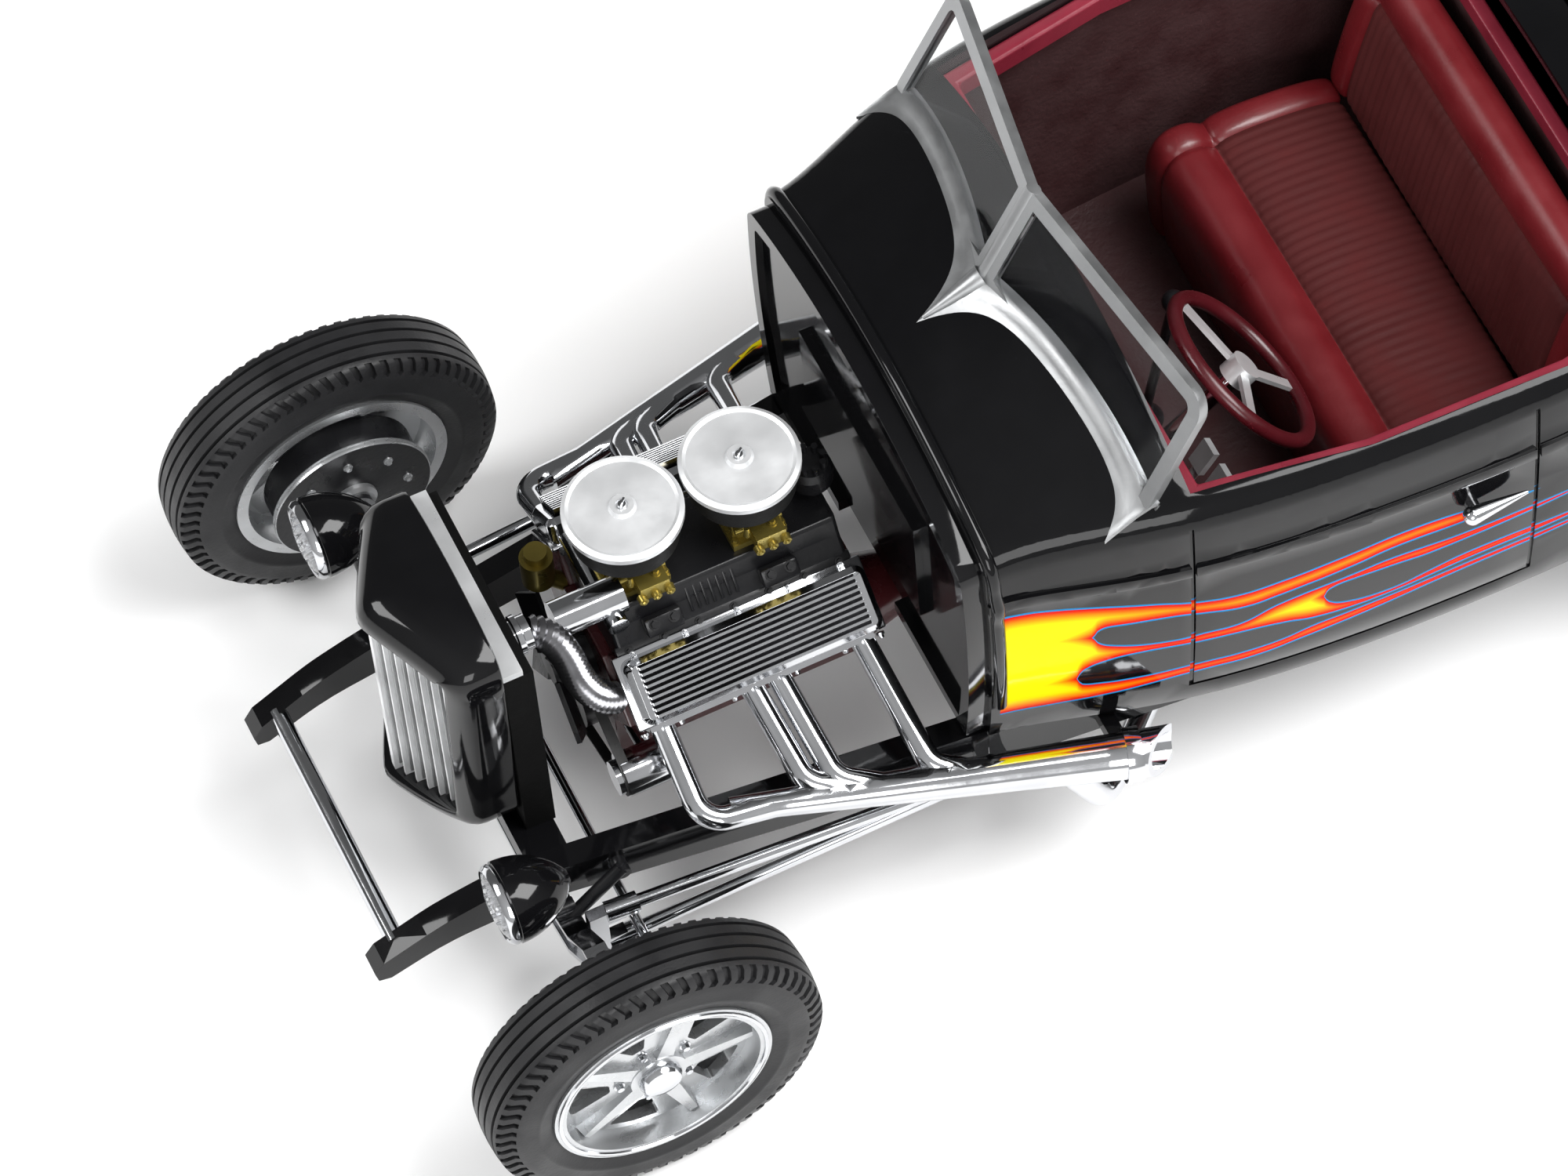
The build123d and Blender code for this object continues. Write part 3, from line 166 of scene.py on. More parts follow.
finishes = {
    # colour, roughness, strength and scale of the grain, what isn't usual
    "gloss_black": finish((0.0035, 0.0035, 0.004), 0.07, 0.04, 900, ior=1.38),
    "satin_black": finish((0.007, 0.007, 0.008), 0.30, 0.25, 2500, ior=1.4),
    "chrome": finish((0.60, 0.61, 0.63), 0.10, 0.12, 700, metallic=1.0, colorSpread=0.06),
    "silver": finish((0.52, 0.53, 0.54), 0.28, 0.2, 5000, metallic=0.85),
    "engine_red": finish((0.055, 0.008, 0.010), 0.26, 0.2, 2500),
    "gold": finish((0.30, 0.235, 0.055), 0.30, 0.2, 2500, metallic=0.8),
    "tyre": finish((0.011, 0.011, 0.012), 0.5, 0.35, 4000, ior=1.4),
    "burgundy": finish((0.125, 0.008, 0.011), 0.36, 0.22, 3500, coat=0.1),
    "maroon_dark": finish((0.036, 0.009, 0.010), 0.75, 0.9, 2200, bumpDistance=0.0001),
    "trim_pink": finish((0.21, 0.018, 0.034), 0.36, 0.25, 3500),
    "clear": finish((0.95, 0.96, 0.97), 0.03, transmission=1.0, ior=1.12, colorSpread=0.01),
    "lamp_red": finish((0.35, 0.008, 0.01), 0.12, transmission=0.4),
    "filter_black": finish((0.007, 0.007, 0.007), 0.6, 0.5, 2500, ior=1.3),
}
materials = {name: nodeMaterial(name, settings) for name, settings in finishes.items()}
slotOfNode = {part["node"]: part["material_slot"] for part in frame["record"]["subparts"]}
for name, obj in nodes.items():
    obj.data.materials.clear()
    obj.data.materials.append(materials[slotOfNode[name]])
extraFinishes = {
    "gaugeFace": finish((0.012, 0.012, 0.014), 0.2, coat=0.6),
    "gaugeMark": finish((0.75, 0.74, 0.70), 0.4),
    "beltRubber": finish((0.012, 0.012, 0.012), 0.6, 0.4, 4000),
    "seatInsert": finish((0.070, 0.012, 0.012), 0.75, 0.3, 3200, ior=1.28),
    "lidSatin": finish((0.84, 0.85, 0.86), 0.36, 0.2, 1800, metallic=0.65, colorSpread=0.05),
    "rimMaroon": finish((0.062, 0.005, 0.008), 0.30, 0.15, 3500),
    "castFrame": finish((0.33, 0.335, 0.34), 0.42, 0.2, 3000, metallic=0.9),
    "hoseSteel": finish((0.20, 0.20, 0.21), 0.22, 0.1, 2500, metallic=0.95),
    "coreBlack": finish((0.004, 0.004, 0.004), 0.7, 0.4, 2500, ior=1.15),
}
materials.update({name: nodeMaterial(name, settings) for name, settings in extraFinishes.items()})
finishOfNode = {
    "air_cleaner_lids": "lidSatin",
    "pedals": "lidSatin",
    "grille_bars": "lidSatin",
    "radiator_strip": "lidSatin",
    "steering_wheel_spokes": "lidSatin",
    "steering_wheel_rim": "rimMaroon",
    "windshield_frame": "castFrame",
    "front_dampers": "satin_black",
    "radiator": "coreBlack",
}
for name, finishName in finishOfNode.items():
    nodes[name].data.materials[0] = materials[finishName]
print("stage: finishes set")

# Flame paint on the body's sides: an outer edge pair and three cut-outs, each a curve along the car
frontAxle = 56.35  # mm
flameSettings = {
    "near": 34.0, "far": 90.0,  # mm behind the front axle, where the curves start and end
    "low": 15.0, "high": 40.0,
    "wide": 4.0,  # largest half width of a cut-out
    "frontEdge": 34.9,
    "facing": 0.3,  # least sideways share of the normal that is painted
    "blackShine": 0.5, "paintShine": 0.04, "bodyIor": 1.31,
    "topEdge": [
        (34, 34.4), (38.6, 34.0), (45.9, 32.4), (50.1, 31.1), (52.9, 30.7), (55.8, 30.9), (61.8, 31.6),
        (66, 32.0), (71, 31.6), (77.5, 30.3), (90, 28.4),
    ],
    "bottomEdge": [
        (34, 19.7), (40.4, 19.5), (43.2, 19.7), (48.8, 20.5), (54.6, 20.6), (57.5, 21.1),
        (63.5, 21.95), (69.7, 22.8), (79.7, 23.2), (90, 23.7),
    ],
    "cuts": [
        {  # between the upper and the middle tongue
            "middle": [
                (34, 29.6), (41.7, 29.2), (45, 28.5), (50.1, 27.9), (52.9, 27.6), (55.8, 28.35),
                (61.8, 29.2), (64.8, 29.6), (70.9, 29.4), (77.5, 29.6), (84, 29.8), (90, 29.0),
            ],
            "half": [
                (34, -3.9), (41.6, -0.1), (42.3, 1.15), (43.4, 1.6), (47.7, 1.95), (50.1, 1.65),
                (52.9, 1.3), (55.8, 0.8), (61.8, 0.75), (66, 0.9), (70.9, 1.0), (77.5, 1.25),
                (84, 1.6), (90, 1.4),
            ],
        },
        {  # between the middle and the lowest tongue
            "middle": [
                (34, 23.0), (40.6, 23.1), (42.4, 23.4), (47.7, 23.5), (53, 23.3), (58.9, 23.15),
                (62, 23.15), (65, 23.3), (71.1, 23.9), (79.6, 24.0), (90, 24.2),
            ],
            "half": [
                (34, -3.9), (40.5, -0.1), (41, 1.2), (42.4, 1.8), (44.5, 2.1), (50.1, 1.85), (53, 1.8),
                (55.9, 1.5), (58.9, 0.7), (62, 0.42), (65, 0.35), (71.1, 0.45), (79.6, 0.45),
                (90, 0.95),
            ],
        },
        {  # splits the middle tongue in two
            "middle": [
                (34, 26.8), (59.4, 26.6), (60.6, 26.3), (64.8, 25.9), (71, 26.4), (79.4, 26.5),
                (90, 26.5),
            ],
            "half": [
                (34, -4.0), (52, -3.9), (59.3, -0.1), (59.8, 1.05), (61.8, 1.8), (64.8, 1.9),
                (67.9, 1.5), (71, 1.25), (79.4, 1.6), (85, 2.0), (90, 2.1),
            ],
        },
    ],
    "ramp": [
        # mm inside the edge, colour
        (-0.22, (0.012, 0.19, 0.44)), (-0.02, (0.015, 0.22, 0.50)), (0.03, (0.50, 0.004, 0.006)),
        (0.28, (0.68, 0.02, 0.004)), (0.62, (0.86, 0.13, 0.003)), (1.05, (0.92, 0.32, 0.004)),
        (1.75, (0.95, 0.68, 0.005)), (3.0, (0.96, 0.83, 0.006)),
    ],
}


def flamePaint(mat, settings):
    tree = mat.node_tree
    coords = tree.nodes.new("ShaderNodeTexCoord")
    split = addNode(tree, "SeparateXYZ", {0: coords.outputs["Object"]})
    near, far = settings["near"], settings["far"]
    along = spanNode(tree, split.outputs["X"], (frontAxle - near) * mm, (frontAxle - far) * mm, 0, 1)
    height = mathNode(tree, "MULTIPLY", split.outputs["Z"], 1 / mm)

    def curve(points, low, high):
        node = addNode(tree, "FloatCurve", {"Value": along})
        line = node.mapping.curves[0]
        places = [((back - near) / (far - near), (value - low) / (high - low)) for back, value in points]
        line.points[0].location = places[0]
        line.points[1].location = places[-1]
        for place in places[1:-1]:
            line.points.new(*place)
        node.mapping.update()
        return spanNode(tree, node.outputs["Value"], 0, 1, low, high)

    ends = settings["low"], settings["high"]
    below = mathNode(tree, "SUBTRACT", curve(settings["topEdge"], *ends), height)
    above = mathNode(tree, "SUBTRACT", height, curve(settings["bottomEdge"], *ends))
    inside = mathNode(tree, "MINIMUM", below, above)
    for cut in settings["cuts"]:
        offset = mathNode(tree, "SUBTRACT", height, curve(cut["middle"], *ends))
        half = curve(cut["half"], -settings["wide"], settings["wide"])
        beyond = mathNode(tree, "SUBTRACT", mathNode(tree, "ABSOLUTE", offset), half)
        inside = mathNode(tree, "MINIMUM", inside, beyond)
    (low, lowColor), *between, (high, highColor) = settings["ramp"]
    ramp = addNode(tree, "ValToRGB", {"Fac": spanNode(tree, inside, low, high, 0, 1)})
    stops = ramp.color_ramp.elements
    stops[0].color = (*lowColor, 1)
    stops[1].color = (*highColor, 1)
    for depth, color in between:
        stops.new((depth - low) / (high - low)).color = (*color, 1)
    outward = addNode(tree, "SeparateXYZ", {0: coords.outputs["Normal"]})
    facing = mathNode(tree, "MULTIPLY", outward.outputs["Y"], mathNode(tree, "SIGN", split.outputs["Y"]))
    mask = mathNode(tree, "GREATER_THAN", inside, low)
    for limit in (
        mathNode(tree, "LESS_THAN", split.outputs["X"], (frontAxle - settings["frontEdge"]) * mm),
        mathNode(tree, "GREATER_THAN", facing, settings["facing"]),
    ):
        mask = mathNode(tree, "MULTIPLY", mask, limit)
    coverPaint(tree, mask, ramp.outputs["Color"])
    shine = spanNode(tree, mask, 0, 1, settings["blackShine"], settings["paintShine"])
    tree.links.new(shine, tree.nodes["Principled BSDF"].inputs["Specular IOR Level"])


flamedBlack = {**finishes["gloss_black"], "ior": flameSettings["bodyIor"]}
materials["flamedBlack"] = nodeMaterial("flamedBlack", flamedBlack)
flamePaint(materials["flamedBlack"], flameSettings)
nodes["body_shell"].data.materials[0] = materials["flamedBlack"]
print("stage: flames painted")

# Cast covers: dark floors between the bright fins, found from the cover's own height along the bank
engineX = 36.85  # mm, the middle of the block
crankZ = 16.2
bankAngle = math.radians(40.0)
finSettings = {
    "floor": 14.05, "top": 14.5, "half": 2.12, "reach": 8.9, "fade": 0.05,
    "dark": (0.012, 0.012, 0.013, 1),
}


def darkenGrooves(mat, settings):
    tree = mat.node_tree
    middle = (engineX * mm, 0, crankZ * mm)
    shift = vectorNode(tree, "SUBTRACT", objectPlace(tree), middle)
    fold = vectorNode(tree, "ABSOLUTE", shift.outputs["Vector"])
    sine, cosine = math.sin(bankAngle), math.cos(bankAngle)
    sideEnd, reachEnd = settings["half"] + settings["fade"], settings["reach"] + settings["fade"]
    limits = [
        # axis to measure along, mm to which it is dark, mm from which it is bright
        ((0, sine, cosine), settings["floor"], settings["top"]),
        ((0, cosine, -sine), settings["half"], sideEnd),
        ((0, -cosine, sine), settings["half"], sideEnd),
        ((1, 0, 0), settings["reach"], reachEnd),
    ]
    shade = 1.0
    for axis, near, far in limits:
        along = vectorNode(tree, "DOT_PRODUCT", fold.outputs["Vector"], axis).outputs["Value"]
        shade = mathNode(tree, "MULTIPLY", shade, spanNode(tree, along, near * mm, far * mm, 1, 0))
    coverPaint(tree, shade, settings["dark"])


materials["finnedChrome"] = nodeMaterial("finnedChrome", finishes["chrome"])
darkenGrooves(materials["finnedChrome"], finSettings)
nodes["valve_covers"].data.materials[0] = materials["finnedChrome"]
print("stage: special finishes set")


# Pieces that dress the model are drawn in millimetres and scaled to the frame when they are done
def newPiece(name, bm, slotName, finishNames=None, sharpAngle=35.0, body="chassis"):
    bmesh.ops.remove_doubles(bm, verts=bm.verts, dist=1e-4)
    bmesh.ops.recalc_face_normals(bm, faces=bm.faces)
    bmesh.ops.scale(bm, vec=(mm, mm, mm), verts=bm.verts)
    mesh = bpy.data.meshes.new(name)
    bm.to_mesh(mesh)
    bm.free()
    for finishName in finishNames or [slotName]:
        mesh.materials.append(materials[finishName])
    mesh.polygons.foreach_set("use_smooth", [True] * len(mesh.polygons))
    mesh.set_sharp_from_angle(angle=math.radians(sharpAngle))
    obj = bpy.data.objects.new(name, mesh)
    scene.collection.objects.link(obj)
    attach(obj, body)
    return obj


def squareTo(place, run):
    # a frame at the place, with its Z axis along the run
    return Matrix.Translation(place) @ run.to_track_quat("Z", "Y").to_matrix().to_4x4()


def lathe(bm, profile, centre, axis, steps=48, closed=False):
    # profile: radius and distance along the axis
    axis = Vector(axis).normalized()
    centre = Vector(centre)
    out = axis.orthogonal().normalized()
    verts = [bm.verts.new(centre + out * radius + axis * along) for radius, along in profile]
    edges = [bm.edges.new(pair) for pair in zip(verts, verts[1:])]
    if closed:
        edges.append(bm.edges.new((verts[-1], verts[0])))
    bmesh.ops.spin(
        bm, geom=verts + edges, cent=centre, axis=axis, angle=2 * math.pi, steps=steps, use_merge=True)


def roundTurn(count):
    return [2 * math.pi * index / count for index in range(count)]


def spaced(count, pitch):
    # steps along a row, from its middle
    return [(index - (count - 1) / 2) * pitch for index in range(count)]


def gridStep(value, count):
    # which line of a unit grid a value lies on
    return int(round((value + 0.5) * count))


def borderOf(bm):
    return [edge for edge in bm.edges if edge.is_boundary]


def bodyTree():
    return BVHTree.FromObject(nodes["body_shell"], bpy.context.evaluated_depsgraph_get())


def ringSection(radius, along, wide, deep, count):
    # a small round section, to be turned into a ring
    return [(radius + wide * math.cos(angle), along + deep * math.sin(angle)) for angle in roundTurn(count)]


def boltCircle(count, radius):
    # places round the axis that runs across the car
    return [Vector((math.cos(angle), 0, -math.sin(angle))) * radius for angle in roundTurn(count)]


def addRing(bm, place, run, radius, segments, capped=False):
    # a circle across the run, given back as its edges
    made = bmesh.ops.create_circle(
        bm, cap_ends=capped, segments=segments, radius=radius, matrix=squareTo(place, run))
    return list({edge for vert in made["verts"] for edge in vert.link_edges})


def joinRings(bm, rings):
    for near, far in zip(rings, rings[1:]):
        bmesh.ops.bridge_loops(bm, edges=near + far)


def roundBar(bm, start, end, radius, endRadius=None, segments=16):
    start, end = Vector(start), Vector(end)
    run = end - start
    bmesh.ops.create_cone(
        bm, cap_ends=True, segments=segments, radius1=radius, radius2=endRadius or radius,
        depth=run.length, matrix=squareTo((start + end) / 2, run))


boltSettings = {"sink": 0.05, "taper": 0.82, "washerHeight": 0.35, "washerFoot": 1.35, "washerTop": 1.3}


def hexBolt(bm, place, normal, radius, height):
    place, normal = Vector(place), Vector(normal).normalized()
    foot = place - normal * boltSettings["sink"]
    roundBar(bm, foot, place + normal * height, radius, radius * boltSettings["taper"], 6)
    washer = place + normal * height * boltSettings["washerHeight"]
    roundBar(bm, foot, washer, radius * boltSettings["washerFoot"], radius * boltSettings["washerTop"], 12)


def block(bm, centre, size, turn, bevel):
    place = Matrix.Translation(centre) @ turn @ Matrix.Diagonal((*size, 1))
    made = bmesh.ops.create_cube(bm, size=1.0, matrix=place)
    edges = list({edge for vert in made["verts"] for edge in vert.link_edges})
    bmesh.ops.bevel(bm, geom=edges, offset=bevel, segments=2, profile=0.5, affect="EDGES", material=-1)


def vertsOf(items):
    return [item for item in items if isinstance(item, bmesh.types.BMVert)]


def copySides(bm):
    # adds the mirror image across the car's middle plane
    made = bmesh.ops.duplicate(bm, geom=bm.verts[:] + bm.edges[:] + bm.faces[:])
    bmesh.ops.scale(bm, vec=(1, -1, 1), verts=vertsOf(made["geom"]))


# Tyres with rib grooves round the tread and slots cut into the shoulders
wheelSettings = {
    "front": {"x": frontAxle, "halfTrack": 29.9, "radius": 13.6, "width": 6.2, "rim": 8.5, "hub": 2.05},
    "rear": {"x": -51.35, "halfTrack": 29.6, "radius": 15.2, "width": 8.4, "rim": 8.9, "hub": 2.65},
}
beadRatio = 0.40  # share of the tyre's width, from its middle to the rim's edge
tyreSettings = {
    "steps": 132,
    "shoulder": 0.91,  # share of the radius
    "sidewall": [
        # measured from, mm outward from it, share of the width
        ("rim", 0, beadRatio), ("rim", 0.45, 0.43), ("rim", 0.9, 0.455), ("rim", 1.5, 0.484),
        ("rim", 1.62, 0.497), ("rim", 1.85, 0.497), ("rim", 1.97, 0.488), ("wall", 0.5, 0.492),
        ("shoulder", -0.35, 0.462), ("shoulder", 0, 0.445), ("tread", -0.46, 0.402), ("tread", -0.2, 0.352),
    ],
    "treadHalf": 0.352,  # share of the width
    "treadDrop": 0.2,
    "grooves": (-0.265, -0.09, 0.09, 0.265),  # share of the width
    "grooveHalf": 0.024,
    "grooveShape": ((-1, 0), (-0.6, 1), (0.6, 1), (1, 0)),  # share of the half width, share of the depth
    "grooveDepth": 0.42,
    "slotAbove": -0.4,  # mm from the shoulder
    "slotBelow": -0.25,  # mm from the tread
    "slotFrom": 0.36,  # share of the width
    "slotEdge": 0.06, "slotDepth": 0.34,
    "slant": -0.8,  # steps
    "slantFrom": 0.38,  # share of the width
    "slantBelow": 0.3,
    "slantTop": (0.6, 0.35),  # mm below the tread, share of the slant down to there
    "slantPast": 0.1,
    "slantLow": 0.6,  # share of the slant past the shoulder
}


def addTyre(name, centre, wheel, settings):
    radius, width = wheel["radius"], wheel["width"]
    shoulder = settings["shoulder"] * radius
    starts = {"rim": wheel["rim"], "wall": (wheel["rim"] + radius) / 2, "shoulder": shoulder, "tread": radius}
    half = [(starts[start] + step, share * width) for start, step, share in settings["sidewall"]]
    tread = []
    for groove in settings["grooves"]:
        for share, cut in settings["grooveShape"]:
            place = groove + share * settings["grooveHalf"]
            crown = radius - settings["treadDrop"] * (place / settings["treadHalf"]) ** 2
            tread.append((crown - cut * settings["grooveDepth"], place * width))
    profile = [(r, -h) for r, h in half] + tread + [(r, h) for r, h in reversed(half)]
    bm = bmesh.new()
    lathe(bm, profile, centre, (0, 1, 0), settings["steps"])
    bmesh.ops.remove_doubles(bm, verts=bm.verts, dist=1e-4)
    bmesh.ops.recalc_face_normals(bm, faces=bm.faces)
    outermost = max(bm.faces, key=lambda face: abs(face.calc_center_median().y - centre.y))
    if outermost.normal.y * (outermost.calc_center_median().y - centre.y) < 0:
        bmesh.ops.reverse_faces(bm, faces=bm.faces)
    pitch = 2 * math.pi / settings["steps"]
    slotLow, slotHigh = shoulder + settings["slotAbove"], radius + settings["slotBelow"]
    slots = []
    for face in bm.faces:
        middle = face.calc_center_median() - centre
        turn = math.floor(math.atan2(middle.z, middle.x) / pitch + 0.5)
        onShoulder = slotLow < math.hypot(middle.x, middle.z) < slotHigh
        if onShoulder and abs(middle.y) > settings["slotFrom"] * width and turn % 2:
            slots.append(face)
    past = radius - shoulder + settings["slantPast"]
    leans = [settings["slantTop"], (past, 1.0), (radius, settings["slantLow"])]
    for vert in bm.verts:  # the slots lean, and bend back at their lower ends
        spot = vert.co - centre
        depth = radius - math.hypot(spot.x, spot.z)
        if abs(spot.y) > settings["slantFrom"] * width and depth > settings["slantBelow"]:
            lean = settings["slant"] * next(share for limit, share in leans if depth < limit)
            vert.co = centre + Matrix.Rotation(lean * pitch, 3, "Y") @ spot
    bmesh.ops.inset_region(
        bm, faces=slots, thickness=settings["slotEdge"], depth=-settings["slotDepth"], use_even_offset=True)
    tyre = newPiece(f"tyreTread_{name}", bm, "tyre", sharpAngle=40, body=f"wheel_{name}")
    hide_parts(f"tyre_{name}")


# Bright bead on each rim's outer lip, nuts round the hub and a domed centre cap
rimSettings = {
    "beadRadius": 0.2, "beadInset": 0.05, "lip": 0.4, "nuts": 5, "nutCircle": 3.05, "nutBack": 1.05,
    "nut": (0.36, 0.5),  # radius, height
    "cap": [(1.75, -0.1), (1.75, 0.35), (1.5, 0.8), (0.9, 1.02), (0, 1.1)],
}


def addRimTrim(name, side, centre, wheel, settings):
    bm = bmesh.new()
    bead = beadRatio * wheel["width"]
    out = Vector((0, side, 0))
    size = settings["beadRadius"]
    ring = ringSection(wheel["rim"] - settings["beadInset"], bead + settings["lip"], size, size, 8)
    lathe(bm, ring, centre, out, 72, closed=True)
    for spot in boltCircle(settings["nuts"], settings["nutCircle"]):
        hexBolt(bm, centre + spot + out * (bead - settings["nutBack"]), out, *settings["nut"])
    lathe(bm, settings["cap"], centre + out * wheel["hub"], out, 36)
    newPiece(f"rimTrim_{name}", bm, "chrome", body=f"wheel_{name}")


for axle, wheel in wheelSettings.items():
    for sideName, side in (("right", -1), ("left", 1)):
        name = f"{axle}_{sideName}"
        centre = Vector((wheel["x"], side * wheel["halfTrack"], wheel["radius"]))
        addTyre(name, centre, wheel, tyreSettings)
        addRimTrim(name, side, centre, wheel, rimSettings)
print("stage: tyres and rim trim made")

# Front brakes: a bright ring round the backing plate, a ring round the hub and bolts
brakeSettings = {
    "plateY": 24.9, "plateRadius": 6.5, "edgeOut": 0.3,
    "edge": (0.14, 0.32),  # half width and half depth of the ring
    "hub": [(1.9, 0.0), (1.9, -0.35), (1.6, -0.6), (1.2, -0.6)],
    "bolts": 8, "boltCircle": 4.6,
    "bolt": (0.3, 0.35),  # radius, height
}


def addBrakeEdges(wheel, settings):
    bm = bmesh.new()
    centre = Vector((wheel["x"], settings["plateY"], wheel["radius"]))
    edge = ringSection(settings["plateRadius"], settings["edgeOut"], *settings["edge"], 6)
    lathe(bm, edge, centre, (0, 1, 0), 64, closed=True)
    lathe(bm, settings["hub"], centre, (0, 1, 0), 32)
    for spot in boltCircle(settings["bolts"], settings["boltCircle"]):
        hexBolt(bm, centre + spot, (0, -1, 0), *settings["bolt"])
    copySides(bm)
    newPiece("brakeEdges", bm, "silver")


addBrakeEdges(wheelSettings["front"], brakeSettings)

# Headlamps: chrome rim, bright reflector with a bulb, ribbed clear lens
lampSettings = {
    "face": (62.25, 17.9, 22.0),
    # radius and distance ahead of the face
    "rim": [(2.62, 0.05), (2.72, 0.42), (2.95, 0.48), (3.2, 0.2), (3.25, -0.15), (3.05, -0.3)],
    "reflector": [(2.67, 0.14), (1.632, 0.07), (0.5, 0.06), (0.42, 0.3), (0, 0.42)],
    "lens": 2.72,
    "glass": [(1, 0.3), (0.82, 0.58), (0.5, 0.8), (0.2, 0.89), (0, 0.9)],  # share of the lens radius
}
lensSettings = {
    **finish((0.93, 0.94, 0.95), 0.08, transmission=0.85, ior=1.3, colorSpread=0.01),
    "ribLean": 28.0,  # degrees
    "ribScale": 480.0, "ribStrength": 0.9, "ribDepth": 0.00012,
}


def addHeadlamps(settings):
    ahead = (1, 0, 0)
    bm = bmesh.new()
    lathe(bm, settings["rim"], settings["face"], ahead, 48)
    lathe(bm, settings["reflector"], settings["face"], ahead, 40)
    copySides(bm)
    newPiece("headlampRims", bm, "chrome")
    bm = bmesh.new()
    glass = [(share * settings["lens"], along) for share, along in settings["glass"]]
    lathe(bm, glass, settings["face"], ahead, 40)
    copySides(bm)
    lensPiece = newPiece("headlampGlass", bm, "clear", ["lensRibbed"])
    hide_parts("headlamp_lenses")


def ribbedGlass(name, settings):
    mat = nodeMaterial(name, settings)
    tree = mat.node_tree
    lean = (math.radians(settings["ribLean"]), 0, 0)
    turn = addNode(tree, "Mapping", {"Vector": objectPlace(tree), "Rotation": lean})
    ribs = {"Vector": turn.outputs["Vector"], "Scale": settings["ribScale"]}
    wave = addNode(tree, "TexWave", ribs, bands_direction="Y")
    addBump(tree, wave.outputs["Fac"], settings["ribStrength"], settings["ribDepth"])
    return mat


materials["lensRibbed"] = ribbedGlass("lensRibbed", lensSettings)
addHeadlamps(lampSettings)
print("stage: brakes and headlamps made")

# Engine dressing, set out in the same bank axes as the solids
bankTurn = Matrix.Rotation(-bankAngle, 4, "X")
bankUp = bankTurn @ Vector((0, 0, 1))
bankOut = bankTurn @ Vector((0, 1, 0))
carbX = (42.85, 33.25)


def inBank(along, across, up):
    return Matrix.Translation((engineX, 0, crankZ)) @ bankTurn @ Vector((along, across, up))


# Valve cover flanges with a row of bolts on each edge
coverSettings = {
    "base": 11.92, "size": (20.5, 5.95, 0.4), "bevel": 0.18,
    "boltRow": (5, 4.3),  # count, pitch
    "boltAcross": 2.76, "boltBase": 12.12,
    "bolt": (0.2, 0.3),  # radius, height
}


def addCoverFlanges(settings):
    bm = bmesh.new()
    block(bm, inBank(0, 0, settings["base"]), settings["size"], bankTurn, settings["bevel"])
    for along in spaced(*settings["boltRow"]):
        for side in (-1, 1):
            spot = inBank(along, side * settings["boltAcross"], settings["boltBase"])
            hexBolt(bm, spot, bankUp, *settings["bolt"])
    copySides(bm)
    newPiece("coverFlanges", bm, "chrome")


addCoverFlanges(coverSettings)

# Manifold: ribs on its slopes, a bolted flange along each head and a bolted boss beside each carburettor
manifoldSettings = {
    "slope": 52.0,  # degrees
    "ribMiddle": (38.05, 3.9, 28.75), "ribSize": (0.24, 2.2, 0.6), "ribBevel": 0.06,
    "ribRow": (7, 0.62),  # count, pitch
    "flangeAcross": -3.05, "flangeUp": 11.6, "flangeSize": (19.4, 1.1, 0.5), "flangeBevel": 0.12,
    "boltRow": (7, 2.9), "boltUp": 11.82,
    "bolt": (0.26, 0.4),  # radius, height
    # places from the ground below the carburettor's middle
    "bossPlace": (-0.4, 4.9, 28.7), "bossSize": (3.0, 1.5, 1.1), "bossBevel": 0.2,
    "bossBolts": ((-1.2, 5.15, 29.2), (0.4, 5.15, 29.2)),
    "bossNormal": (0, 0.62, 0.78), "bossBolt": (0.36, 0.35),
}


def addManifoldDetail(settings):
    bm = bmesh.new()
    slope = Matrix.Rotation(-math.radians(settings["slope"]), 4, "X")
    for step in spaced(*settings["ribRow"]):
        place = Vector(settings["ribMiddle"]) + Vector((step, 0, 0))
        block(bm, place, settings["ribSize"], slope, settings["ribBevel"])
    across = settings["flangeAcross"]
    flange = inBank(0, across, settings["flangeUp"])
    block(bm, flange, settings["flangeSize"], bankTurn, settings["flangeBevel"])
    for along in spaced(*settings["boltRow"]):
        hexBolt(bm, inBank(along, across, settings["boltUp"]), bankUp, *settings["bolt"])
    for x in carbX:
        ground = Vector((x, 0, 0))
        place = ground + Vector(settings["bossPlace"])
        block(bm, place, settings["bossSize"], slope, settings["bossBevel"])
        for spot in settings["bossBolts"]:
            hexBolt(bm, ground + Vector(spot), settings["bossNormal"], *settings["bossBolt"])
    copySides(bm)
    newPiece("manifoldDetail", bm, "satin_black")


addManifoldDetail(manifoldSettings)

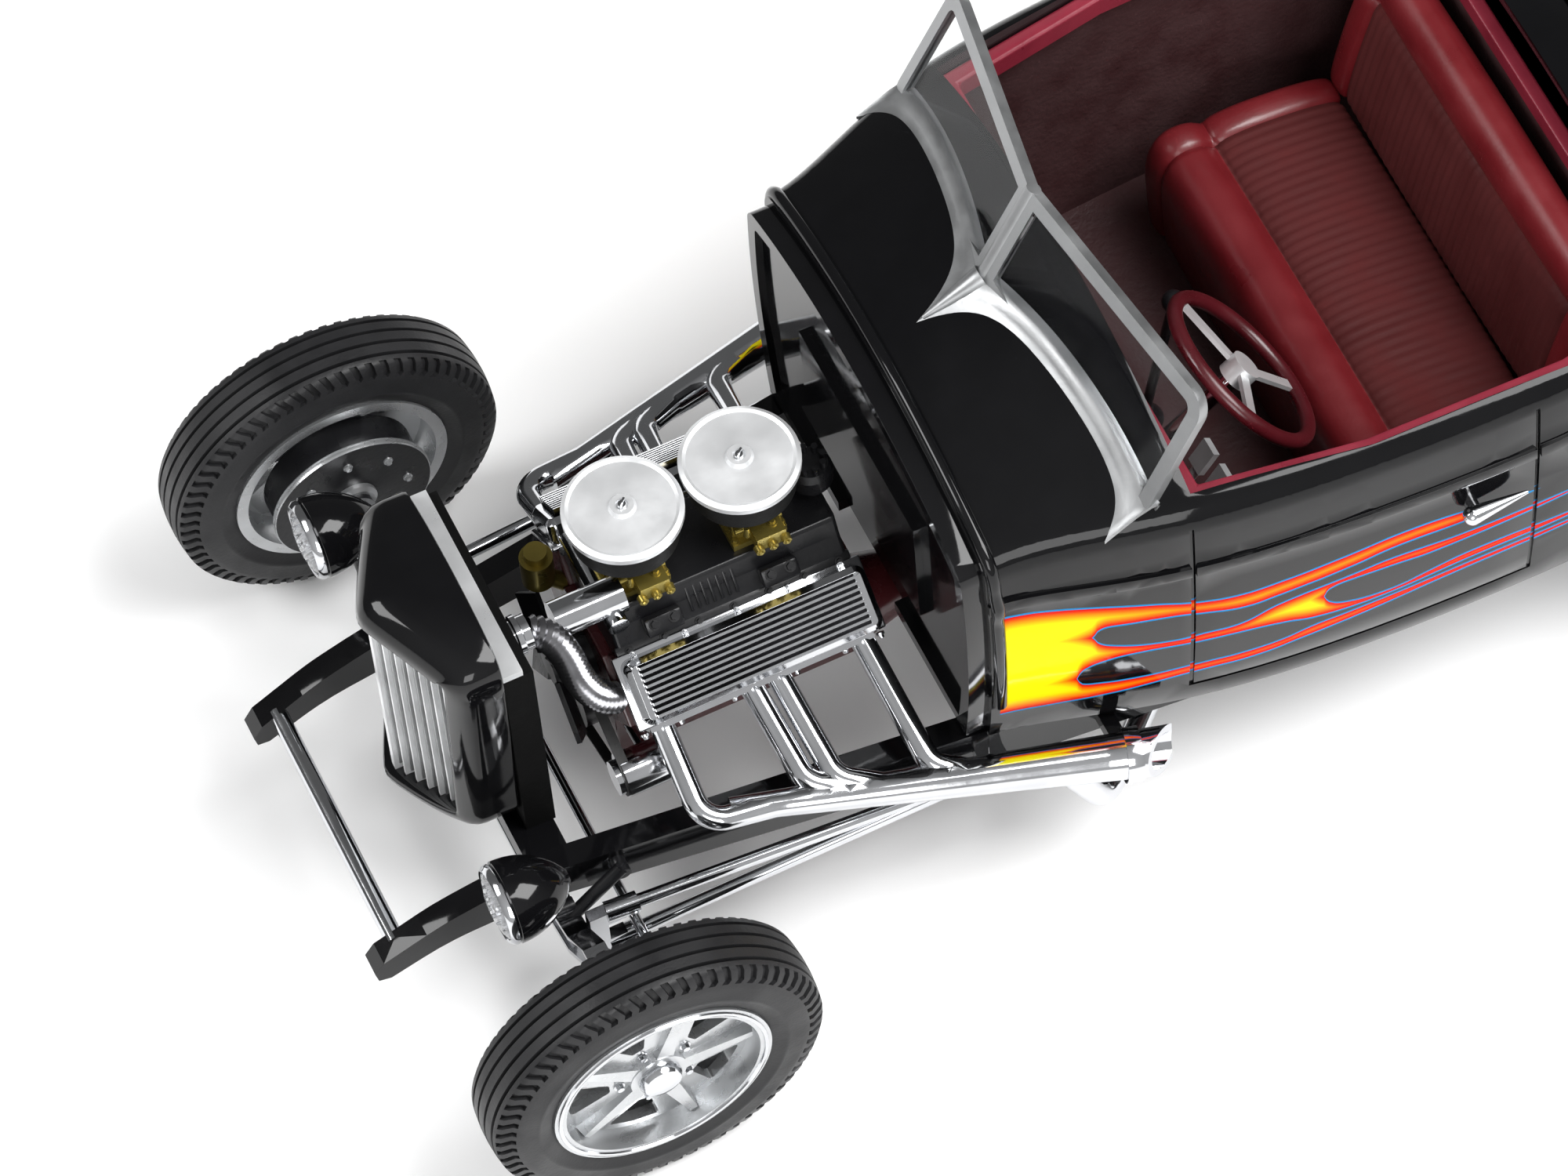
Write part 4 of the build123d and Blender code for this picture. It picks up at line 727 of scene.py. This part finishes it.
# Carburettors: plugs, shafts, vents and screws on both sides, and a wing nut on each lid
carbSettings = {
    "foot": 30.2,
    "bars": [
        # start, end, radius, end radius, segments; from the middle of the foot
        ((-1.5, 3.9, 1.3), (-1.5, 4.45, 1.3), 0.42, 0.36, 14),
        ((-0.4, 3.9, 1.3), (-0.4, 4.45, 1.3), 0.42, 0.36, 14),
        ((0.7, 3.9, 1.3), (0.7, 4.45, 1.3), 0.42, 0.36, 14),
        ((-1.9, 2.4, 2.2), (1.9, 2.4, 2.2), 0.28, 0.28, 16),
        ((1.2, 3.2, 2.4), (1.2, 3.2, 3.4), 0.3, 0.22, 16),
    ],
    "bolts": [
        # place, normal, radius, height
        ((-1.5, 4.4, 1.3), (0, 1, 0), 0.2, 0.2),
        ((-0.4, 4.4, 1.3), (0, 1, 0), 0.2, 0.2),
        ((0.7, 4.4, 1.3), (0, 1, 0), 0.2, 0.2),
        ((-0.9, 3.1, 2.4), (0, 0, 1), 0.3, 0.45),
        ((-1.9, 2.3, 0.6), (0, 0, 1), 0.26, 0.4),
        ((1.9, 2.3, 0.6), (0, 0, 1), 0.26, 0.4),
    ],
    "nutStem": (38.3, 38.62, 0.3),  # from, to, radius
    "nutWing": 38.66, "wingSize": (0.9, 0.24, 0.42),
    "wingTurn": 40.0,  # degrees
    "wingBevel": 0.08,
}


def addCarbDetail(settings):
    bm = bmesh.new()
    for x in carbX:
        for side in (-1, 1):
            foot = Matrix.Translation((x, 0, settings["foot"])) @ Matrix.Diagonal((1, side, 1, 1))
            for start, end, *sizes in settings["bars"]:
                roundBar(bm, foot @ Vector(start), foot @ Vector(end), *sizes)
            for place, normal, *sizes in settings["bolts"]:
                hexBolt(bm, foot @ Vector(place), foot.to_3x3() @ Vector(normal), *sizes)
    newPiece("carbDetail", bm, "gold")
    bm = bmesh.new()
    turn = Matrix.Rotation(math.radians(settings["wingTurn"]), 4, "Z")
    low, high, radius = settings["nutStem"]
    for x in carbX:
        roundBar(bm, (x, 0, low), (x, 0, high), radius)
        block(bm, (x, 0, settings["nutWing"]), settings["wingSize"], turn, settings["wingBevel"])
    newPiece("lidNuts", bm, "chrome")


addCarbDetail(carbSettings)

# Header flange bolts, two at each port
flangeSettings = {
    "ports": (45.05, 37.65, 35.45, 28.45), "step": 1.5, "across": 3.5, "up": 10.45,
    "bolt": (0.26, 0.4),  # radius, height
}


def addHeaderBolts(settings):
    bm = bmesh.new()
    for x in settings["ports"]:
        for side in (-1, 1):
            spot = inBank(x - engineX + side * settings["step"], settings["across"], settings["up"])
            hexBolt(bm, spot, bankOut, *settings["bolt"])
    copySides(bm)
    newPiece("headerBolts", bm, "chrome")


addHeaderBolts(flangeSettings)

# Drive belt round the crank, pump and generator pulleys
beltSettings = {
    "x": 48.5, "width": 0.8, "thick": 0.22, "clear": 0.03, "capFacing": 0.9,
    "pulleys": [(0, 15.2, 2.6), (0, 20.6, 2.4), (9.2, 17.2, 1.4)],  # across, up, radius
}


def addBelt(settings):
    bm = bmesh.new()
    quarter = Matrix.Rotation(math.pi / 2, 4, "Y")
    for step in (-0.5, 0.5):
        x = settings["x"] + step * settings["width"]
        for y, z, radius in settings["pulleys"]:
            place = Matrix.Translation((x, y, z)) @ quarter
            bmesh.ops.create_circle(bm, segments=32, radius=radius + settings["clear"], matrix=place)
    hull = bmesh.ops.convex_hull(bm, input=bm.verts)
    loose = set(vertsOf(hull["geom_interior"] + hull["geom_unused"]))
    bmesh.ops.delete(bm, geom=list(loose), context="VERTS")
    bm.normal_update()
    caps = [face for face in bm.faces if abs(face.normal.x) > settings["capFacing"]]
    bmesh.ops.delete(bm, geom=caps, context="FACES")
    bmesh.ops.solidify(bm, geom=bm.faces[:], thickness=-settings["thick"])
    newPiece("fanBelt", bm, "satin_black", ["beltRubber"])


addBelt(beltSettings)

# Ribbed hose in place of the plain one, smoothly through the same corners, with a collar at the neck
hoseSettings = {
    "route": [(52.85, 4.4, 34.4), (50.95, 5.0, 33.8), (49.55, 6.6, 24.8), (47.15, 6.0, 22.8)],
    "neck": (54.55, 4.4, 34.4),
    "collar": [(0, 0), (1.3, 0), (1.3, 0.5), (1.62, 0.6), (1.62, 1.0), (1.4, 1.1), (1.4, 1.7), (1.1, 1.8)],
    "radius": 1.0, "rib": 0.26, "pitch": 0.5,
}


def splinePoints(route):
    data = bpy.data.curves.new("routeLine", "CURVE")
    data.dimensions = "3D"
    line = data.splines.new("NURBS")
    line.points.add(len(route) - 1)
    for point, place in zip(line.points, route):
        point.co = (*place, 1)
    line.order_u = 3
    line.use_endpoint_u = True
    line.resolution_u = 24
    holder = bpy.data.objects.new("routeLine", data)
    scene.collection.objects.link(holder)
    mesh = bpy.data.meshes.new_from_object(holder)
    places = [vert.co.copy() for vert in mesh.vertices]
    bpy.data.objects.remove(holder)
    bpy.data.curves.remove(data)
    bpy.data.meshes.remove(mesh)
    return places


def addHose(settings):
    bm = bmesh.new()
    places = splinePoints(settings["route"])
    travelled, wanted, rings = 0.0, 0.0, []
    for start, end in zip(places, places[1:]):
        step = (end - start).length
        while wanted <= travelled + step:
            spot = start.lerp(end, (wanted - travelled) / step)
            radius = settings["radius"] + settings["rib"] * (len(rings) % 2)
            rings.append(addRing(bm, spot, end - start, radius, 20))
            wanted += settings["pitch"] / 2
        travelled += step
    joinRings(bm, rings)
    ribs = set(bm.faces)
    neck, first = Vector(settings["neck"]), Vector(settings["route"][0])
    lathe(bm, settings["collar"], neck, first - neck, 32)
    for face in set(bm.faces) - ribs:
        face.material_index = 1
    hose = newPiece("ribbedHose", bm, "chrome", ["hoseSteel", "chrome"], sharpAngle=50)
    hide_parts("radiator_hose")


addHose(hoseSettings)
print("stage: engine dressed")

# Seat: cushion and back as crowned pads with a rolled edge, bolsters and lengthwise pleats
seatSettings = {
    "columns": 164, "rowsPerPoint": 4,
    "halfWidth": 18.6, "crown": 0.3, "crownLevel": 0.4,
    "bolster": 15.6,  # half width of the pleated insert
    "bolsterSwell": 0.3, "piping": 0.24, "pipingWidth": 0.2,
    "pleatPitch": 0.92, "pleatDepth": 0.13, "pleatSharpness": 8, "pleatFade": 0.4,
    "edgeFrom": 0.7,  # share of the bolster where it starts to turn down
    "edgeDrop": 1.2, "skirtIn": 0.25, "skirtNarrow": 0.94,
    "pads": {
        "seat_cushion": {
            "line": [
                (-9.25, 17.4), (-9.1, 19.5), (-9.0, 22.0), (-8.98, 24.4), (-9.2, 26.1), (-9.8, 27.4),
                (-10.7, 28.1), (-11.8, 28.25), (-12.8, 28.0), (-13.5, 27.5), (-13.9, 27.2),
                (-14.3, 27.45), (-15.2, 27.7), (-17.0, 27.75), (-19.5, 27.5), (-22.0, 27.1),
                (-23.8, 26.6), (-24.7, 26.1), (-25.0, 25.6),
            ],
            "pleats": (10, 18),
            "inside": (-17.0, 19.0),  # the border is drawn in towards this line
        },
        "seat_back": {
            "line": [
                (-25.15, 25.9), (-25.1, 26.6), (-25.35, 28.2), (-25.85, 30.4), (-26.45, 32.8),
                (-27.05, 34.9), (-27.45, 36.2), (-27.8, 36.75), (-28.05, 37.0), (-27.95, 37.35),
                (-27.85, 38.2), (-27.95, 39.5), (-28.45, 40.5), (-29.3, 41.1), (-30.3, 41.05),
                (-31.1, 40.4), (-31.5, 39.2), (-31.55, 37.8),
            ],
            "pleats": (0, 8),
            "inside": (-28.4, 29.0),
        },
    },
}


def smoothLine(points, perPoint):
    # a smooth run through the points: place, outward normal and place along the list of each row
    points = [Vector(point) for point in points]
    rows = []
    for index in range(len(points) - 1):
        before, here, ahead = points[max(0, index - 1)], points[index], points[index + 1]
        after = points[min(len(points) - 1, index + 2)]
        for step in range(perPoint):
            t = step / perPoint
            bend = 2 * here + (ahead - before) * t + (2 * before - 5 * here + 4 * ahead - after) * t ** 2
            rows.append((0.5 * (bend + (3 * here - before - 3 * ahead + after) * t ** 3), index + t))
    rows.append((points[-1], len(points) - 1))
    normals = []
    for index in range(len(rows)):
        run = (rows[min(index + 1, len(rows) - 1)][0] - rows[max(index - 1, 0)][0]).normalized()
        normals.append(Vector((run.y, -run.x)))
    return [(place, normal, along) for (place, along), normal in zip(rows, normals)]


def clamp(value):
    return min(1.0, max(0.0, value))


def addSeatPad(node, pad, settings):
    bm = bmesh.new()
    rows = smoothLine(pad["line"], settings["rowsPerPoint"])
    width, bolster, (first, last) = settings["halfWidth"], settings["bolster"], pad["pleats"]
    bmesh.ops.create_grid(bm, x_segments=settings["columns"], y_segments=len(rows) - 1, size=0.5)
    insertFaces = []
    for face in bm.faces:
        middle = face.calc_center_median()
        along = rows[int((middle.y + 0.5) * (len(rows) - 1))][2]
        if first <= along < last and abs(middle.x) * 2 * width < bolster:
            insertFaces.append(face)
    for vert in bm.verts:
        y = vert.co.x * 2 * width
        place, normal, along = rows[gridStep(vert.co.y, len(rows) - 1)]
        past = abs(y) - bolster
        edge = max(0.0, past / (width - bolster))
        fade = min(clamp(along - first + 0.5), clamp(last + 0.5 - along))
        fade *= clamp(-past / settings["pleatFade"])
        pleat = abs(math.cos(math.pi * y / settings["pleatPitch"])) ** settings["pleatSharpness"]
        turnDown = max(0.0, edge - settings["edgeFrom"]) / (1 - settings["edgeFrom"])
        lift = settings["crown"] * (settings["crownLevel"] - (y / width) ** 2)
        lift -= settings["pleatDepth"] * pleat * fade
        lift += settings["bolsterSwell"] * math.sin(math.pi * edge)
        lift -= settings["piping"] * math.exp(-(past / settings["pipingWidth"]) ** 2)
        lift -= settings["edgeDrop"] * turnDown ** 2
        vert.co = (place.x + normal.x * lift, y, place.y + normal.y * lift)
    for face in insertFaces:
        face.material_index = 1
    skirt = bmesh.ops.extrude_edge_only(bm, edges=borderOf(bm))["geom"]
    innerX, innerZ = pad["inside"]
    for vert in vertsOf(skirt):
        x, y, z = vert.co
        inward = settings["skirtIn"]
        vert.co = (x + inward * (innerX - x), settings["skirtNarrow"] * y, z + inward * (innerZ - z))
    bmesh.ops.holes_fill(bm, edges=borderOf(bm), sides=0)
    cushion = newPiece(f"{node}Pad", bm, "burgundy", ["burgundy", "seatInsert"], sharpAngle=70)
    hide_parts(node)


for node, pad in seatSettings["pads"].items():
    addSeatPad(node, pad, seatSettings)
print("stage: seat padded")

# Instruments: bezel, face, ring of marks and needle in each recess of the dashboard
gaugeSettings = {
    "x": 6.35, "z": 41.4, "across": (5.8, 10.4, 15.0),
    "needles": (215, 140, 60),  # degrees
    # radius and distance behind the dashboard's face
    "bezel": [(1.32, -0.25), (1.4, 0.1), (1.6, 0.22), (1.8, 0.16), (1.86, 0.0)],
    "face": [(1.55, -0.34), (1.55, -0.22), (0, -0.22)],
    "markTurns": range(-120, 121, 30),
    "mark": ((0.2, 1.088), (0.08, 0.09, 0.32)),  # depth and distance from the middle, size
    "needle": ((0.16, 0.48), (0.08, 0.1, 1.28)),
    "bevel": 0.02,
}


def addPointer(bm, centre, angle, pointer, bevel):
    (depth, out), size = pointer
    turn = Matrix.Rotation(math.radians(angle), 4, "X")
    block(bm, centre + Vector((depth, 0, 0)) + turn @ Vector((0, 0, out)), size, turn, bevel)


def addGauges(settings):
    bezels, faces = bmesh.new(), bmesh.new()
    back = (-1, 0, 0)
    for y, needle in zip(settings["across"], settings["needles"]):
        centre = Vector((settings["x"], y, settings["z"]))
        lathe(bezels, settings["bezel"], centre, back, 40)
        lathe(faces, settings["face"], centre, back, 36)
        plain = len(faces.faces)
        for angle in settings["markTurns"]:
            addPointer(faces, centre, angle, settings["mark"], settings["bevel"])
        addPointer(faces, centre, needle, settings["needle"], settings["bevel"])
        for face in faces.faces[plain:]:
            face.material_index = 1
    newPiece("gaugeBezels", bezels, "chrome")
    newPiece("gaugeFaces", faces, "satin_black", ["gaugeFace", "gaugeMark"])


addGauges(gaugeSettings)

# Tail lamp bezels
tailSettings = {
    "lamp": (-66.15, 13.0, 20.4),
    "bezel": [(1.18, -0.5), (1.5, -0.4), (1.54, 0.1), (1.3, 0.42), (1.08, 0.42)],
}


def addTailTrim(settings):
    bm = bmesh.new()
    lathe(bm, settings["bezel"], settings["lamp"], (-1, 0, 0), 36)
    copySides(bm)
    newPiece("tailLampBezels", bm, "chrome")


addTailTrim(tailSettings)
print("stage: instruments and tail trim made")

# Windshield base: a flared band along the cowl, from the spear in the middle to a pointed foot at each end
baseSettings = {
    "paneLow": (12.75, 0, 48.2), "paneHigh": (8.25, 0, 56.8), "paneEnd": (10.35, 21.2, 42.0),
    "halfSpan": 21.2, "cowlHalf": 20.9, "width": 1.05,
    "spear": 4.3, "spearSpread": 1.5, "foot": 2.6, "footSpread": 1.4,
    "rise": 0.9, "fall": 1.7, "back": 0.5, "front": 0.15, "clear": 0.03, "sink": 0.35,
    "steps": 72, "rows": 6,
    "settle": 6,  # rounds in which a place on both the pane and the cowl is found
}


def heightFinder():
    tree = bodyTree()

    def height(x, y, start=80.0, down=-1):
        hit = tree.ray_cast(Vector((x, y, start)) * mm, Vector((0, 0, down)))[0]
        return hit.z / mm if hit else None
    return height


def addWindshieldBase(settings):
    height = heightFinder()
    low, high, end = (Vector(settings[key]) for key in ("paneLow", "paneHigh", "paneEnd"))
    normal = (high - low).cross(end - low).normalized()
    lift = (high - low).normalized() * settings["rise"]
    rows = settings["rows"]
    bm = bmesh.new()
    bmesh.ops.create_grid(bm, x_segments=settings["steps"], y_segments=rows, size=0.5)
    for vert in bm.verts:
        y = (vert.co.x + 0.5) * settings["halfSpan"]
        onCowl = min(y, settings["cowlHalf"])
        row = gridStep(vert.co.y, rows)
        x, z = low.x, low.z
        for attempt in range(settings["settle"]):
            z = height(x, onCowl) or z
            x = low.x - (normal.y * (y - low.y) + normal.z * (z - low.z)) / normal.x
        ahead = settings["width"] + settings["spear"] * math.exp(-y / settings["spearSpread"])
        ahead += settings["foot"] * math.exp(-(settings["halfSpan"] - y) / settings["footSpread"])
        root = Vector((x, y, z))
        if row <= 1:  # back face of the rail
            vert.co = root - Vector((settings["back"], 0, 0)) + lift * row
        elif row == 2:
            vert.co = root + Vector((settings["front"], 0, 0)) + lift
        else:
            share = (row - 2) / (rows - 2)
            front = x + ahead * share
            above = settings["rise"] * (1 - share) ** settings["fall"] + settings["clear"]
            vert.co = (front, y, (height(front, onCowl) or z) + above)
    made = bmesh.ops.extrude_edge_only(bm, edges=borderOf(bm))
    for vert in vertsOf(made["geom"]):
        vert.co.z -= settings["sink"]
    copySides(bm)
    newPiece("windshieldBase", bm, "silver", ["castFrame"], sharpAngle=50)


addWindshieldBase(baseSettings)

# Panels that close the cabin: a sloped toe board ahead of the floor and a panel under the rear deck
panelSettings = {
    "thick": 0.4,
    "toeLow": (16.1, 0, 17.5), "toeHigh": (22.0, 0, 23.5), "toeHalf": 18.2, "toeBevel": 0.1,
    "rearX": -34.15, "rearHalf": 18.0, "rearLow": 36.5, "rearClear": 0.02,
    "rearHigh": 40.5,  # where the deck isn't met
}


def addCabinPanels(settings):
    bm = bmesh.new()
    low, high = Vector(settings["toeLow"]), Vector(settings["toeHigh"])
    run = high - low
    turn = Matrix.Rotation(-math.atan2(run.z, run.x), 4, "Y")
    size = (run.length, 2 * settings["toeHalf"], settings["thick"])
    block(bm, (low + high) / 2, size, turn, settings["toeBevel"])
    newPiece("toeBoard", bm, "maroon_dark")
    height = heightFinder()
    rearX, rearLow = settings["rearX"], settings["rearLow"]
    bm = bmesh.new()
    bmesh.ops.create_grid(bm, x_segments=24, y_segments=1, size=0.5)
    for vert in bm.verts:
        y = vert.co.x * 2 * settings["rearHalf"]
        top = height(rearX, y, rearLow + 1, 1) or settings["rearHigh"]
        vert.co = (rearX, y, rearLow if vert.co.y < 0 else top - settings["rearClear"])
    bmesh.ops.solidify(bm, geom=bm.faces[:], thickness=settings["thick"])
    newPiece("rearPanel", bm, "burgundy")


addCabinPanels(panelSettings)

# Fine slats between the grille bars
slatSettings = {
    "middleX": 63.2, "peak": 4.6, "half": 9.2, "halfSpan": 7.2, "count": 14,
    "size": (0.8, 0.2), "bevel": 0.08, "low": 17.2, "high": 37.6, "fall": 0.1,
}


def addSlats(settings):
    bm = bmesh.new()
    low = settings["low"]
    for index in range(settings["count"]):
        y = settings["halfSpan"] * ((2 * index + 1) / settings["count"] - 1)
        x = settings["middleX"] - settings["peak"] * abs(y) / settings["half"]
        high = settings["high"] - settings["fall"] * abs(y)
        size = (*settings["size"], high - low)
        block(bm, (x, y, (low + high) / 2), size, Matrix.Identity(4), settings["bevel"])
    newPiece("grilleSlats", bm, "chrome", ["castFrame"])


addSlats(slatSettings)
print("stage: windshield base, cabin panels and slats made")

# Rolled bead round the cowl's front edge
beadSettings = {
    "x": 21.5, "centre": 30.0, "start": 60.0,
    "from": -24.0, "to": 204.0, "steps": 90,  # degrees
    "radius": 0.55, "segments": 16,
}


def addCowlBead(settings):
    tree = bodyTree()
    middle = Vector((settings["x"], 0, settings["centre"]))
    places = []
    for index in range(settings["steps"] + 1):
        share = (settings["to"] - settings["from"]) * index / settings["steps"]
        angle = math.radians(settings["from"] + share)
        out = Vector((0, math.cos(angle), math.sin(angle)))
        hit = tree.ray_cast((middle + out * settings["start"]) * mm, -out)[0]
        places.append(hit / mm)
    bm = bmesh.new()
    last = len(places) - 1
    rings = []
    for index, place in enumerate(places):
        run = places[min(index + 1, last)] - places[max(index - 1, 0)]
        capped = index in (0, last)
        rings.append(addRing(bm, place, run, settings["radius"], settings["segments"], capped))
    joinRings(bm, rings)
    newPiece("cowlBead", bm, "gloss_black", sharpAngle=60)


addCowlBead(beadSettings)

# Grille shell: a smooth rounded skin on the solid's outline, with a soft peak and a deep top brow
shellSettings = {
    "outline": [
        (0, 14.42), (4.2, 14.9), (7.0, 15.9), (8.25, 17.2), (8.45, 20.0), (8.75, 27.0), (9.05, 33.5),
        (9.18, 36.2), (8.85, 37.9), (7.9, 38.9), (5.8, 39.55), (3.0, 39.95), (0, 40.08),
    ],
    "perPoint": 5,
    "rearX": 56.65, "sideX": 60.05, "peak": 4.55, "half": 9.2,
    "round": 1.25, "brow": 1.3, "edge": 1.7, "browEdge": 1.1,
    "flatBefore": 0.3, "lip": (0.25, -0.12), "mouthPast": 0.05, "mouthBack": (-0.4, -1.35),
    "bendTurns": (22.5, 45, 67.5, 90),  # degrees
    "soft": (0.6, 0.3),  # rounds the peak off
    # mm ahead of the rear, mm in from the outline
    "rearEdge": [(0, 0.3), (0.1, 0.08), (0.35, 0)],
    "inner": [(1.2, 1.1), (0, 0.85), (0, 0.3)],
}


def shellProfile(settings, top):
    # across the skin: mm ahead of the rear (None follows the front), in from the outline, past the front
    bend = settings["round"] + settings["brow"] * top
    edge = settings["edge"] + settings["browEdge"] * top
    flat, mouth = max(bend, edge - settings["flatBefore"]), max(bend, edge) + settings["mouthPast"]
    profile = [(ahead, inset, 0) for ahead, inset in settings["rearEdge"]]
    profile.append((None, 0, -bend))
    for turn in settings["bendTurns"]:
        angle = math.radians(turn)
        profile.append((None, bend * (1 - math.cos(angle)), -bend * (1 - math.sin(angle))))
    lipIn, lipBack = settings["lip"]
    profile += [(None, flat, 0), (None, flat + lipIn, lipBack)]
    profile += [(None, mouth, back) for back in settings["mouthBack"]]
    return profile + [(ahead, inset, 0) for ahead, inset in settings["inner"]]


def addShellSkin(settings):
    right = settings["outline"]
    rows = smoothLine(right + [(-y, z) for y, z in reversed(right[:-1])], settings["perPoint"])
    rowLast, profileLast = len(rows) - 1, len(shellProfile(settings, 0)) - 1
    blur, lower = settings["soft"]
    bm = bmesh.new()
    bmesh.ops.create_grid(bm, x_segments=rowLast, y_segments=profileLast, size=0.5)
    for vert in bm.verts:
        place, normal = rows[gridStep(vert.co.x, rowLast)][:2]
        step = gridStep(vert.co.y, profileLast)
        ahead, inset, back = shellProfile(settings, max(0.0, normal.y) ** 2)[step]
        y, z = place - normal * inset
        if ahead is None:
            reach = math.sqrt(y * y + blur) - lower
            x = settings["sideX"] + settings["peak"] * (1 - reach / settings["half"]) + back
        else:
            x = settings["rearX"] + ahead
        vert.co = (x, y, z)
    skin = newPiece("shellSkin", bm, "gloss_black", sharpAngle=45)
    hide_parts("grille_shell")


addShellSkin(shellSettings)

# Softened edges on the solids whose photographed edges are rounded
edgeSettings = {
    # node: width in mm, segments
    "frame_rails": (0.45, 4),
    "firewall": (0.4, 4),
    "cockpit_trim": (0.25, 3),
    "windshield_frame": (0.24, 3),
    "valve_covers": (0.1, 2),
    "engine_block": (0.15, 2),
    "cylinder_heads": (0.15, 2),
    "intake_manifold": (0.3, 3),
    "carburettors": (0.15, 2),
    "body_shell": (0.18, 2),
    "exhaust_headers": (0.12, 2),
    "front_axle": (0.15, 2),
}
weldReach = 0.005
softenFrom = math.radians(38.0)


def soften(settings):
    for node, (width, segments) in settings.items():
        modifiers = nodes[node].modifiers
        modifiers.new("weld", "WELD").merge_threshold = weldReach * mm
        bevel = modifiers.new("edges", "BEVEL")
        bevel.width = width * mm
        bevel.segments = segments
        bevel.limit_method = "ANGLE"
        bevel.angle_limit = softenFrom


soften(edgeSettings)
print("stage: edges softened")

# Stage: pale floor, a dome that is bright on the camera's side and dim on the far side, three soft panels
stageSettings = {
    "floorSize": 4.0,
    "floor": finish((0.95, 0.95, 0.95), 0.9, colorSpread=0.0, noiseScale=2),
    "domeFar": 0.13, "domeNear": 0.6, "domeAim": (0.30, 0.85, 0.43),
    "lights": [
        # name, place, aim, size, watts
        ("keyPanel", (-0.30, 0.24, 0.62), (0.0, 0.0, 0.02), 0.42, 6.6),
        ("fillPanel", (0.52, -0.16, 0.50), (0.02, 0.0, 0.02), 0.30, 2.6),
        ("nearPanel", (0.30, 0.72, 0.42), (0.02, 0.0, 0.02), 0.40, 3.0),
    ],
}


def addStage(settings):
    mesh = bpy.data.meshes.new("floor")
    bm = bmesh.new()
    bmesh.ops.create_grid(bm, x_segments=1, y_segments=1, size=settings["floorSize"] / 2)
    bm.to_mesh(mesh)
    bm.free()
    mesh.materials.append(nodeMaterial("floorPaper", settings["floor"]))
    floor = bpy.data.objects.new("floor", mesh)
    scene.collection.objects.link(floor)
    world = bpy.data.worlds.new("studio")
    world.use_nodes = True
    scene.world = world
    tree = world.node_tree
    around = tree.nodes.new("ShaderNodeTexCoord").outputs["Generated"]
    toward = vectorNode(tree, "DOT_PRODUCT", around, Vector(settings["domeAim"]).normalized())
    glow = spanNode(tree, toward.outputs["Value"], 0, 1, settings["domeFar"], settings["domeNear"])
    background = tree.nodes["Background"]
    background.inputs["Color"].default_value = (1, 1, 1, 1)
    tree.links.new(glow, background.inputs["Strength"])
    for name, place, aim, size, watts in settings["lights"]:
        lamp = bpy.data.lights.new(name, "AREA")
        lamp.size = size
        lamp.energy = watts
        obj = bpy.data.objects.new(name, lamp)
        obj.location = place
        obj.rotation_euler = (Vector(aim) - Vector(place)).to_track_quat("-Z", "Y").to_euler()
        scene.collection.objects.link(obj)
    scene.view_settings.view_transform = "Standard"


addStage(stageSettings)
print("stage: floor and lights set")
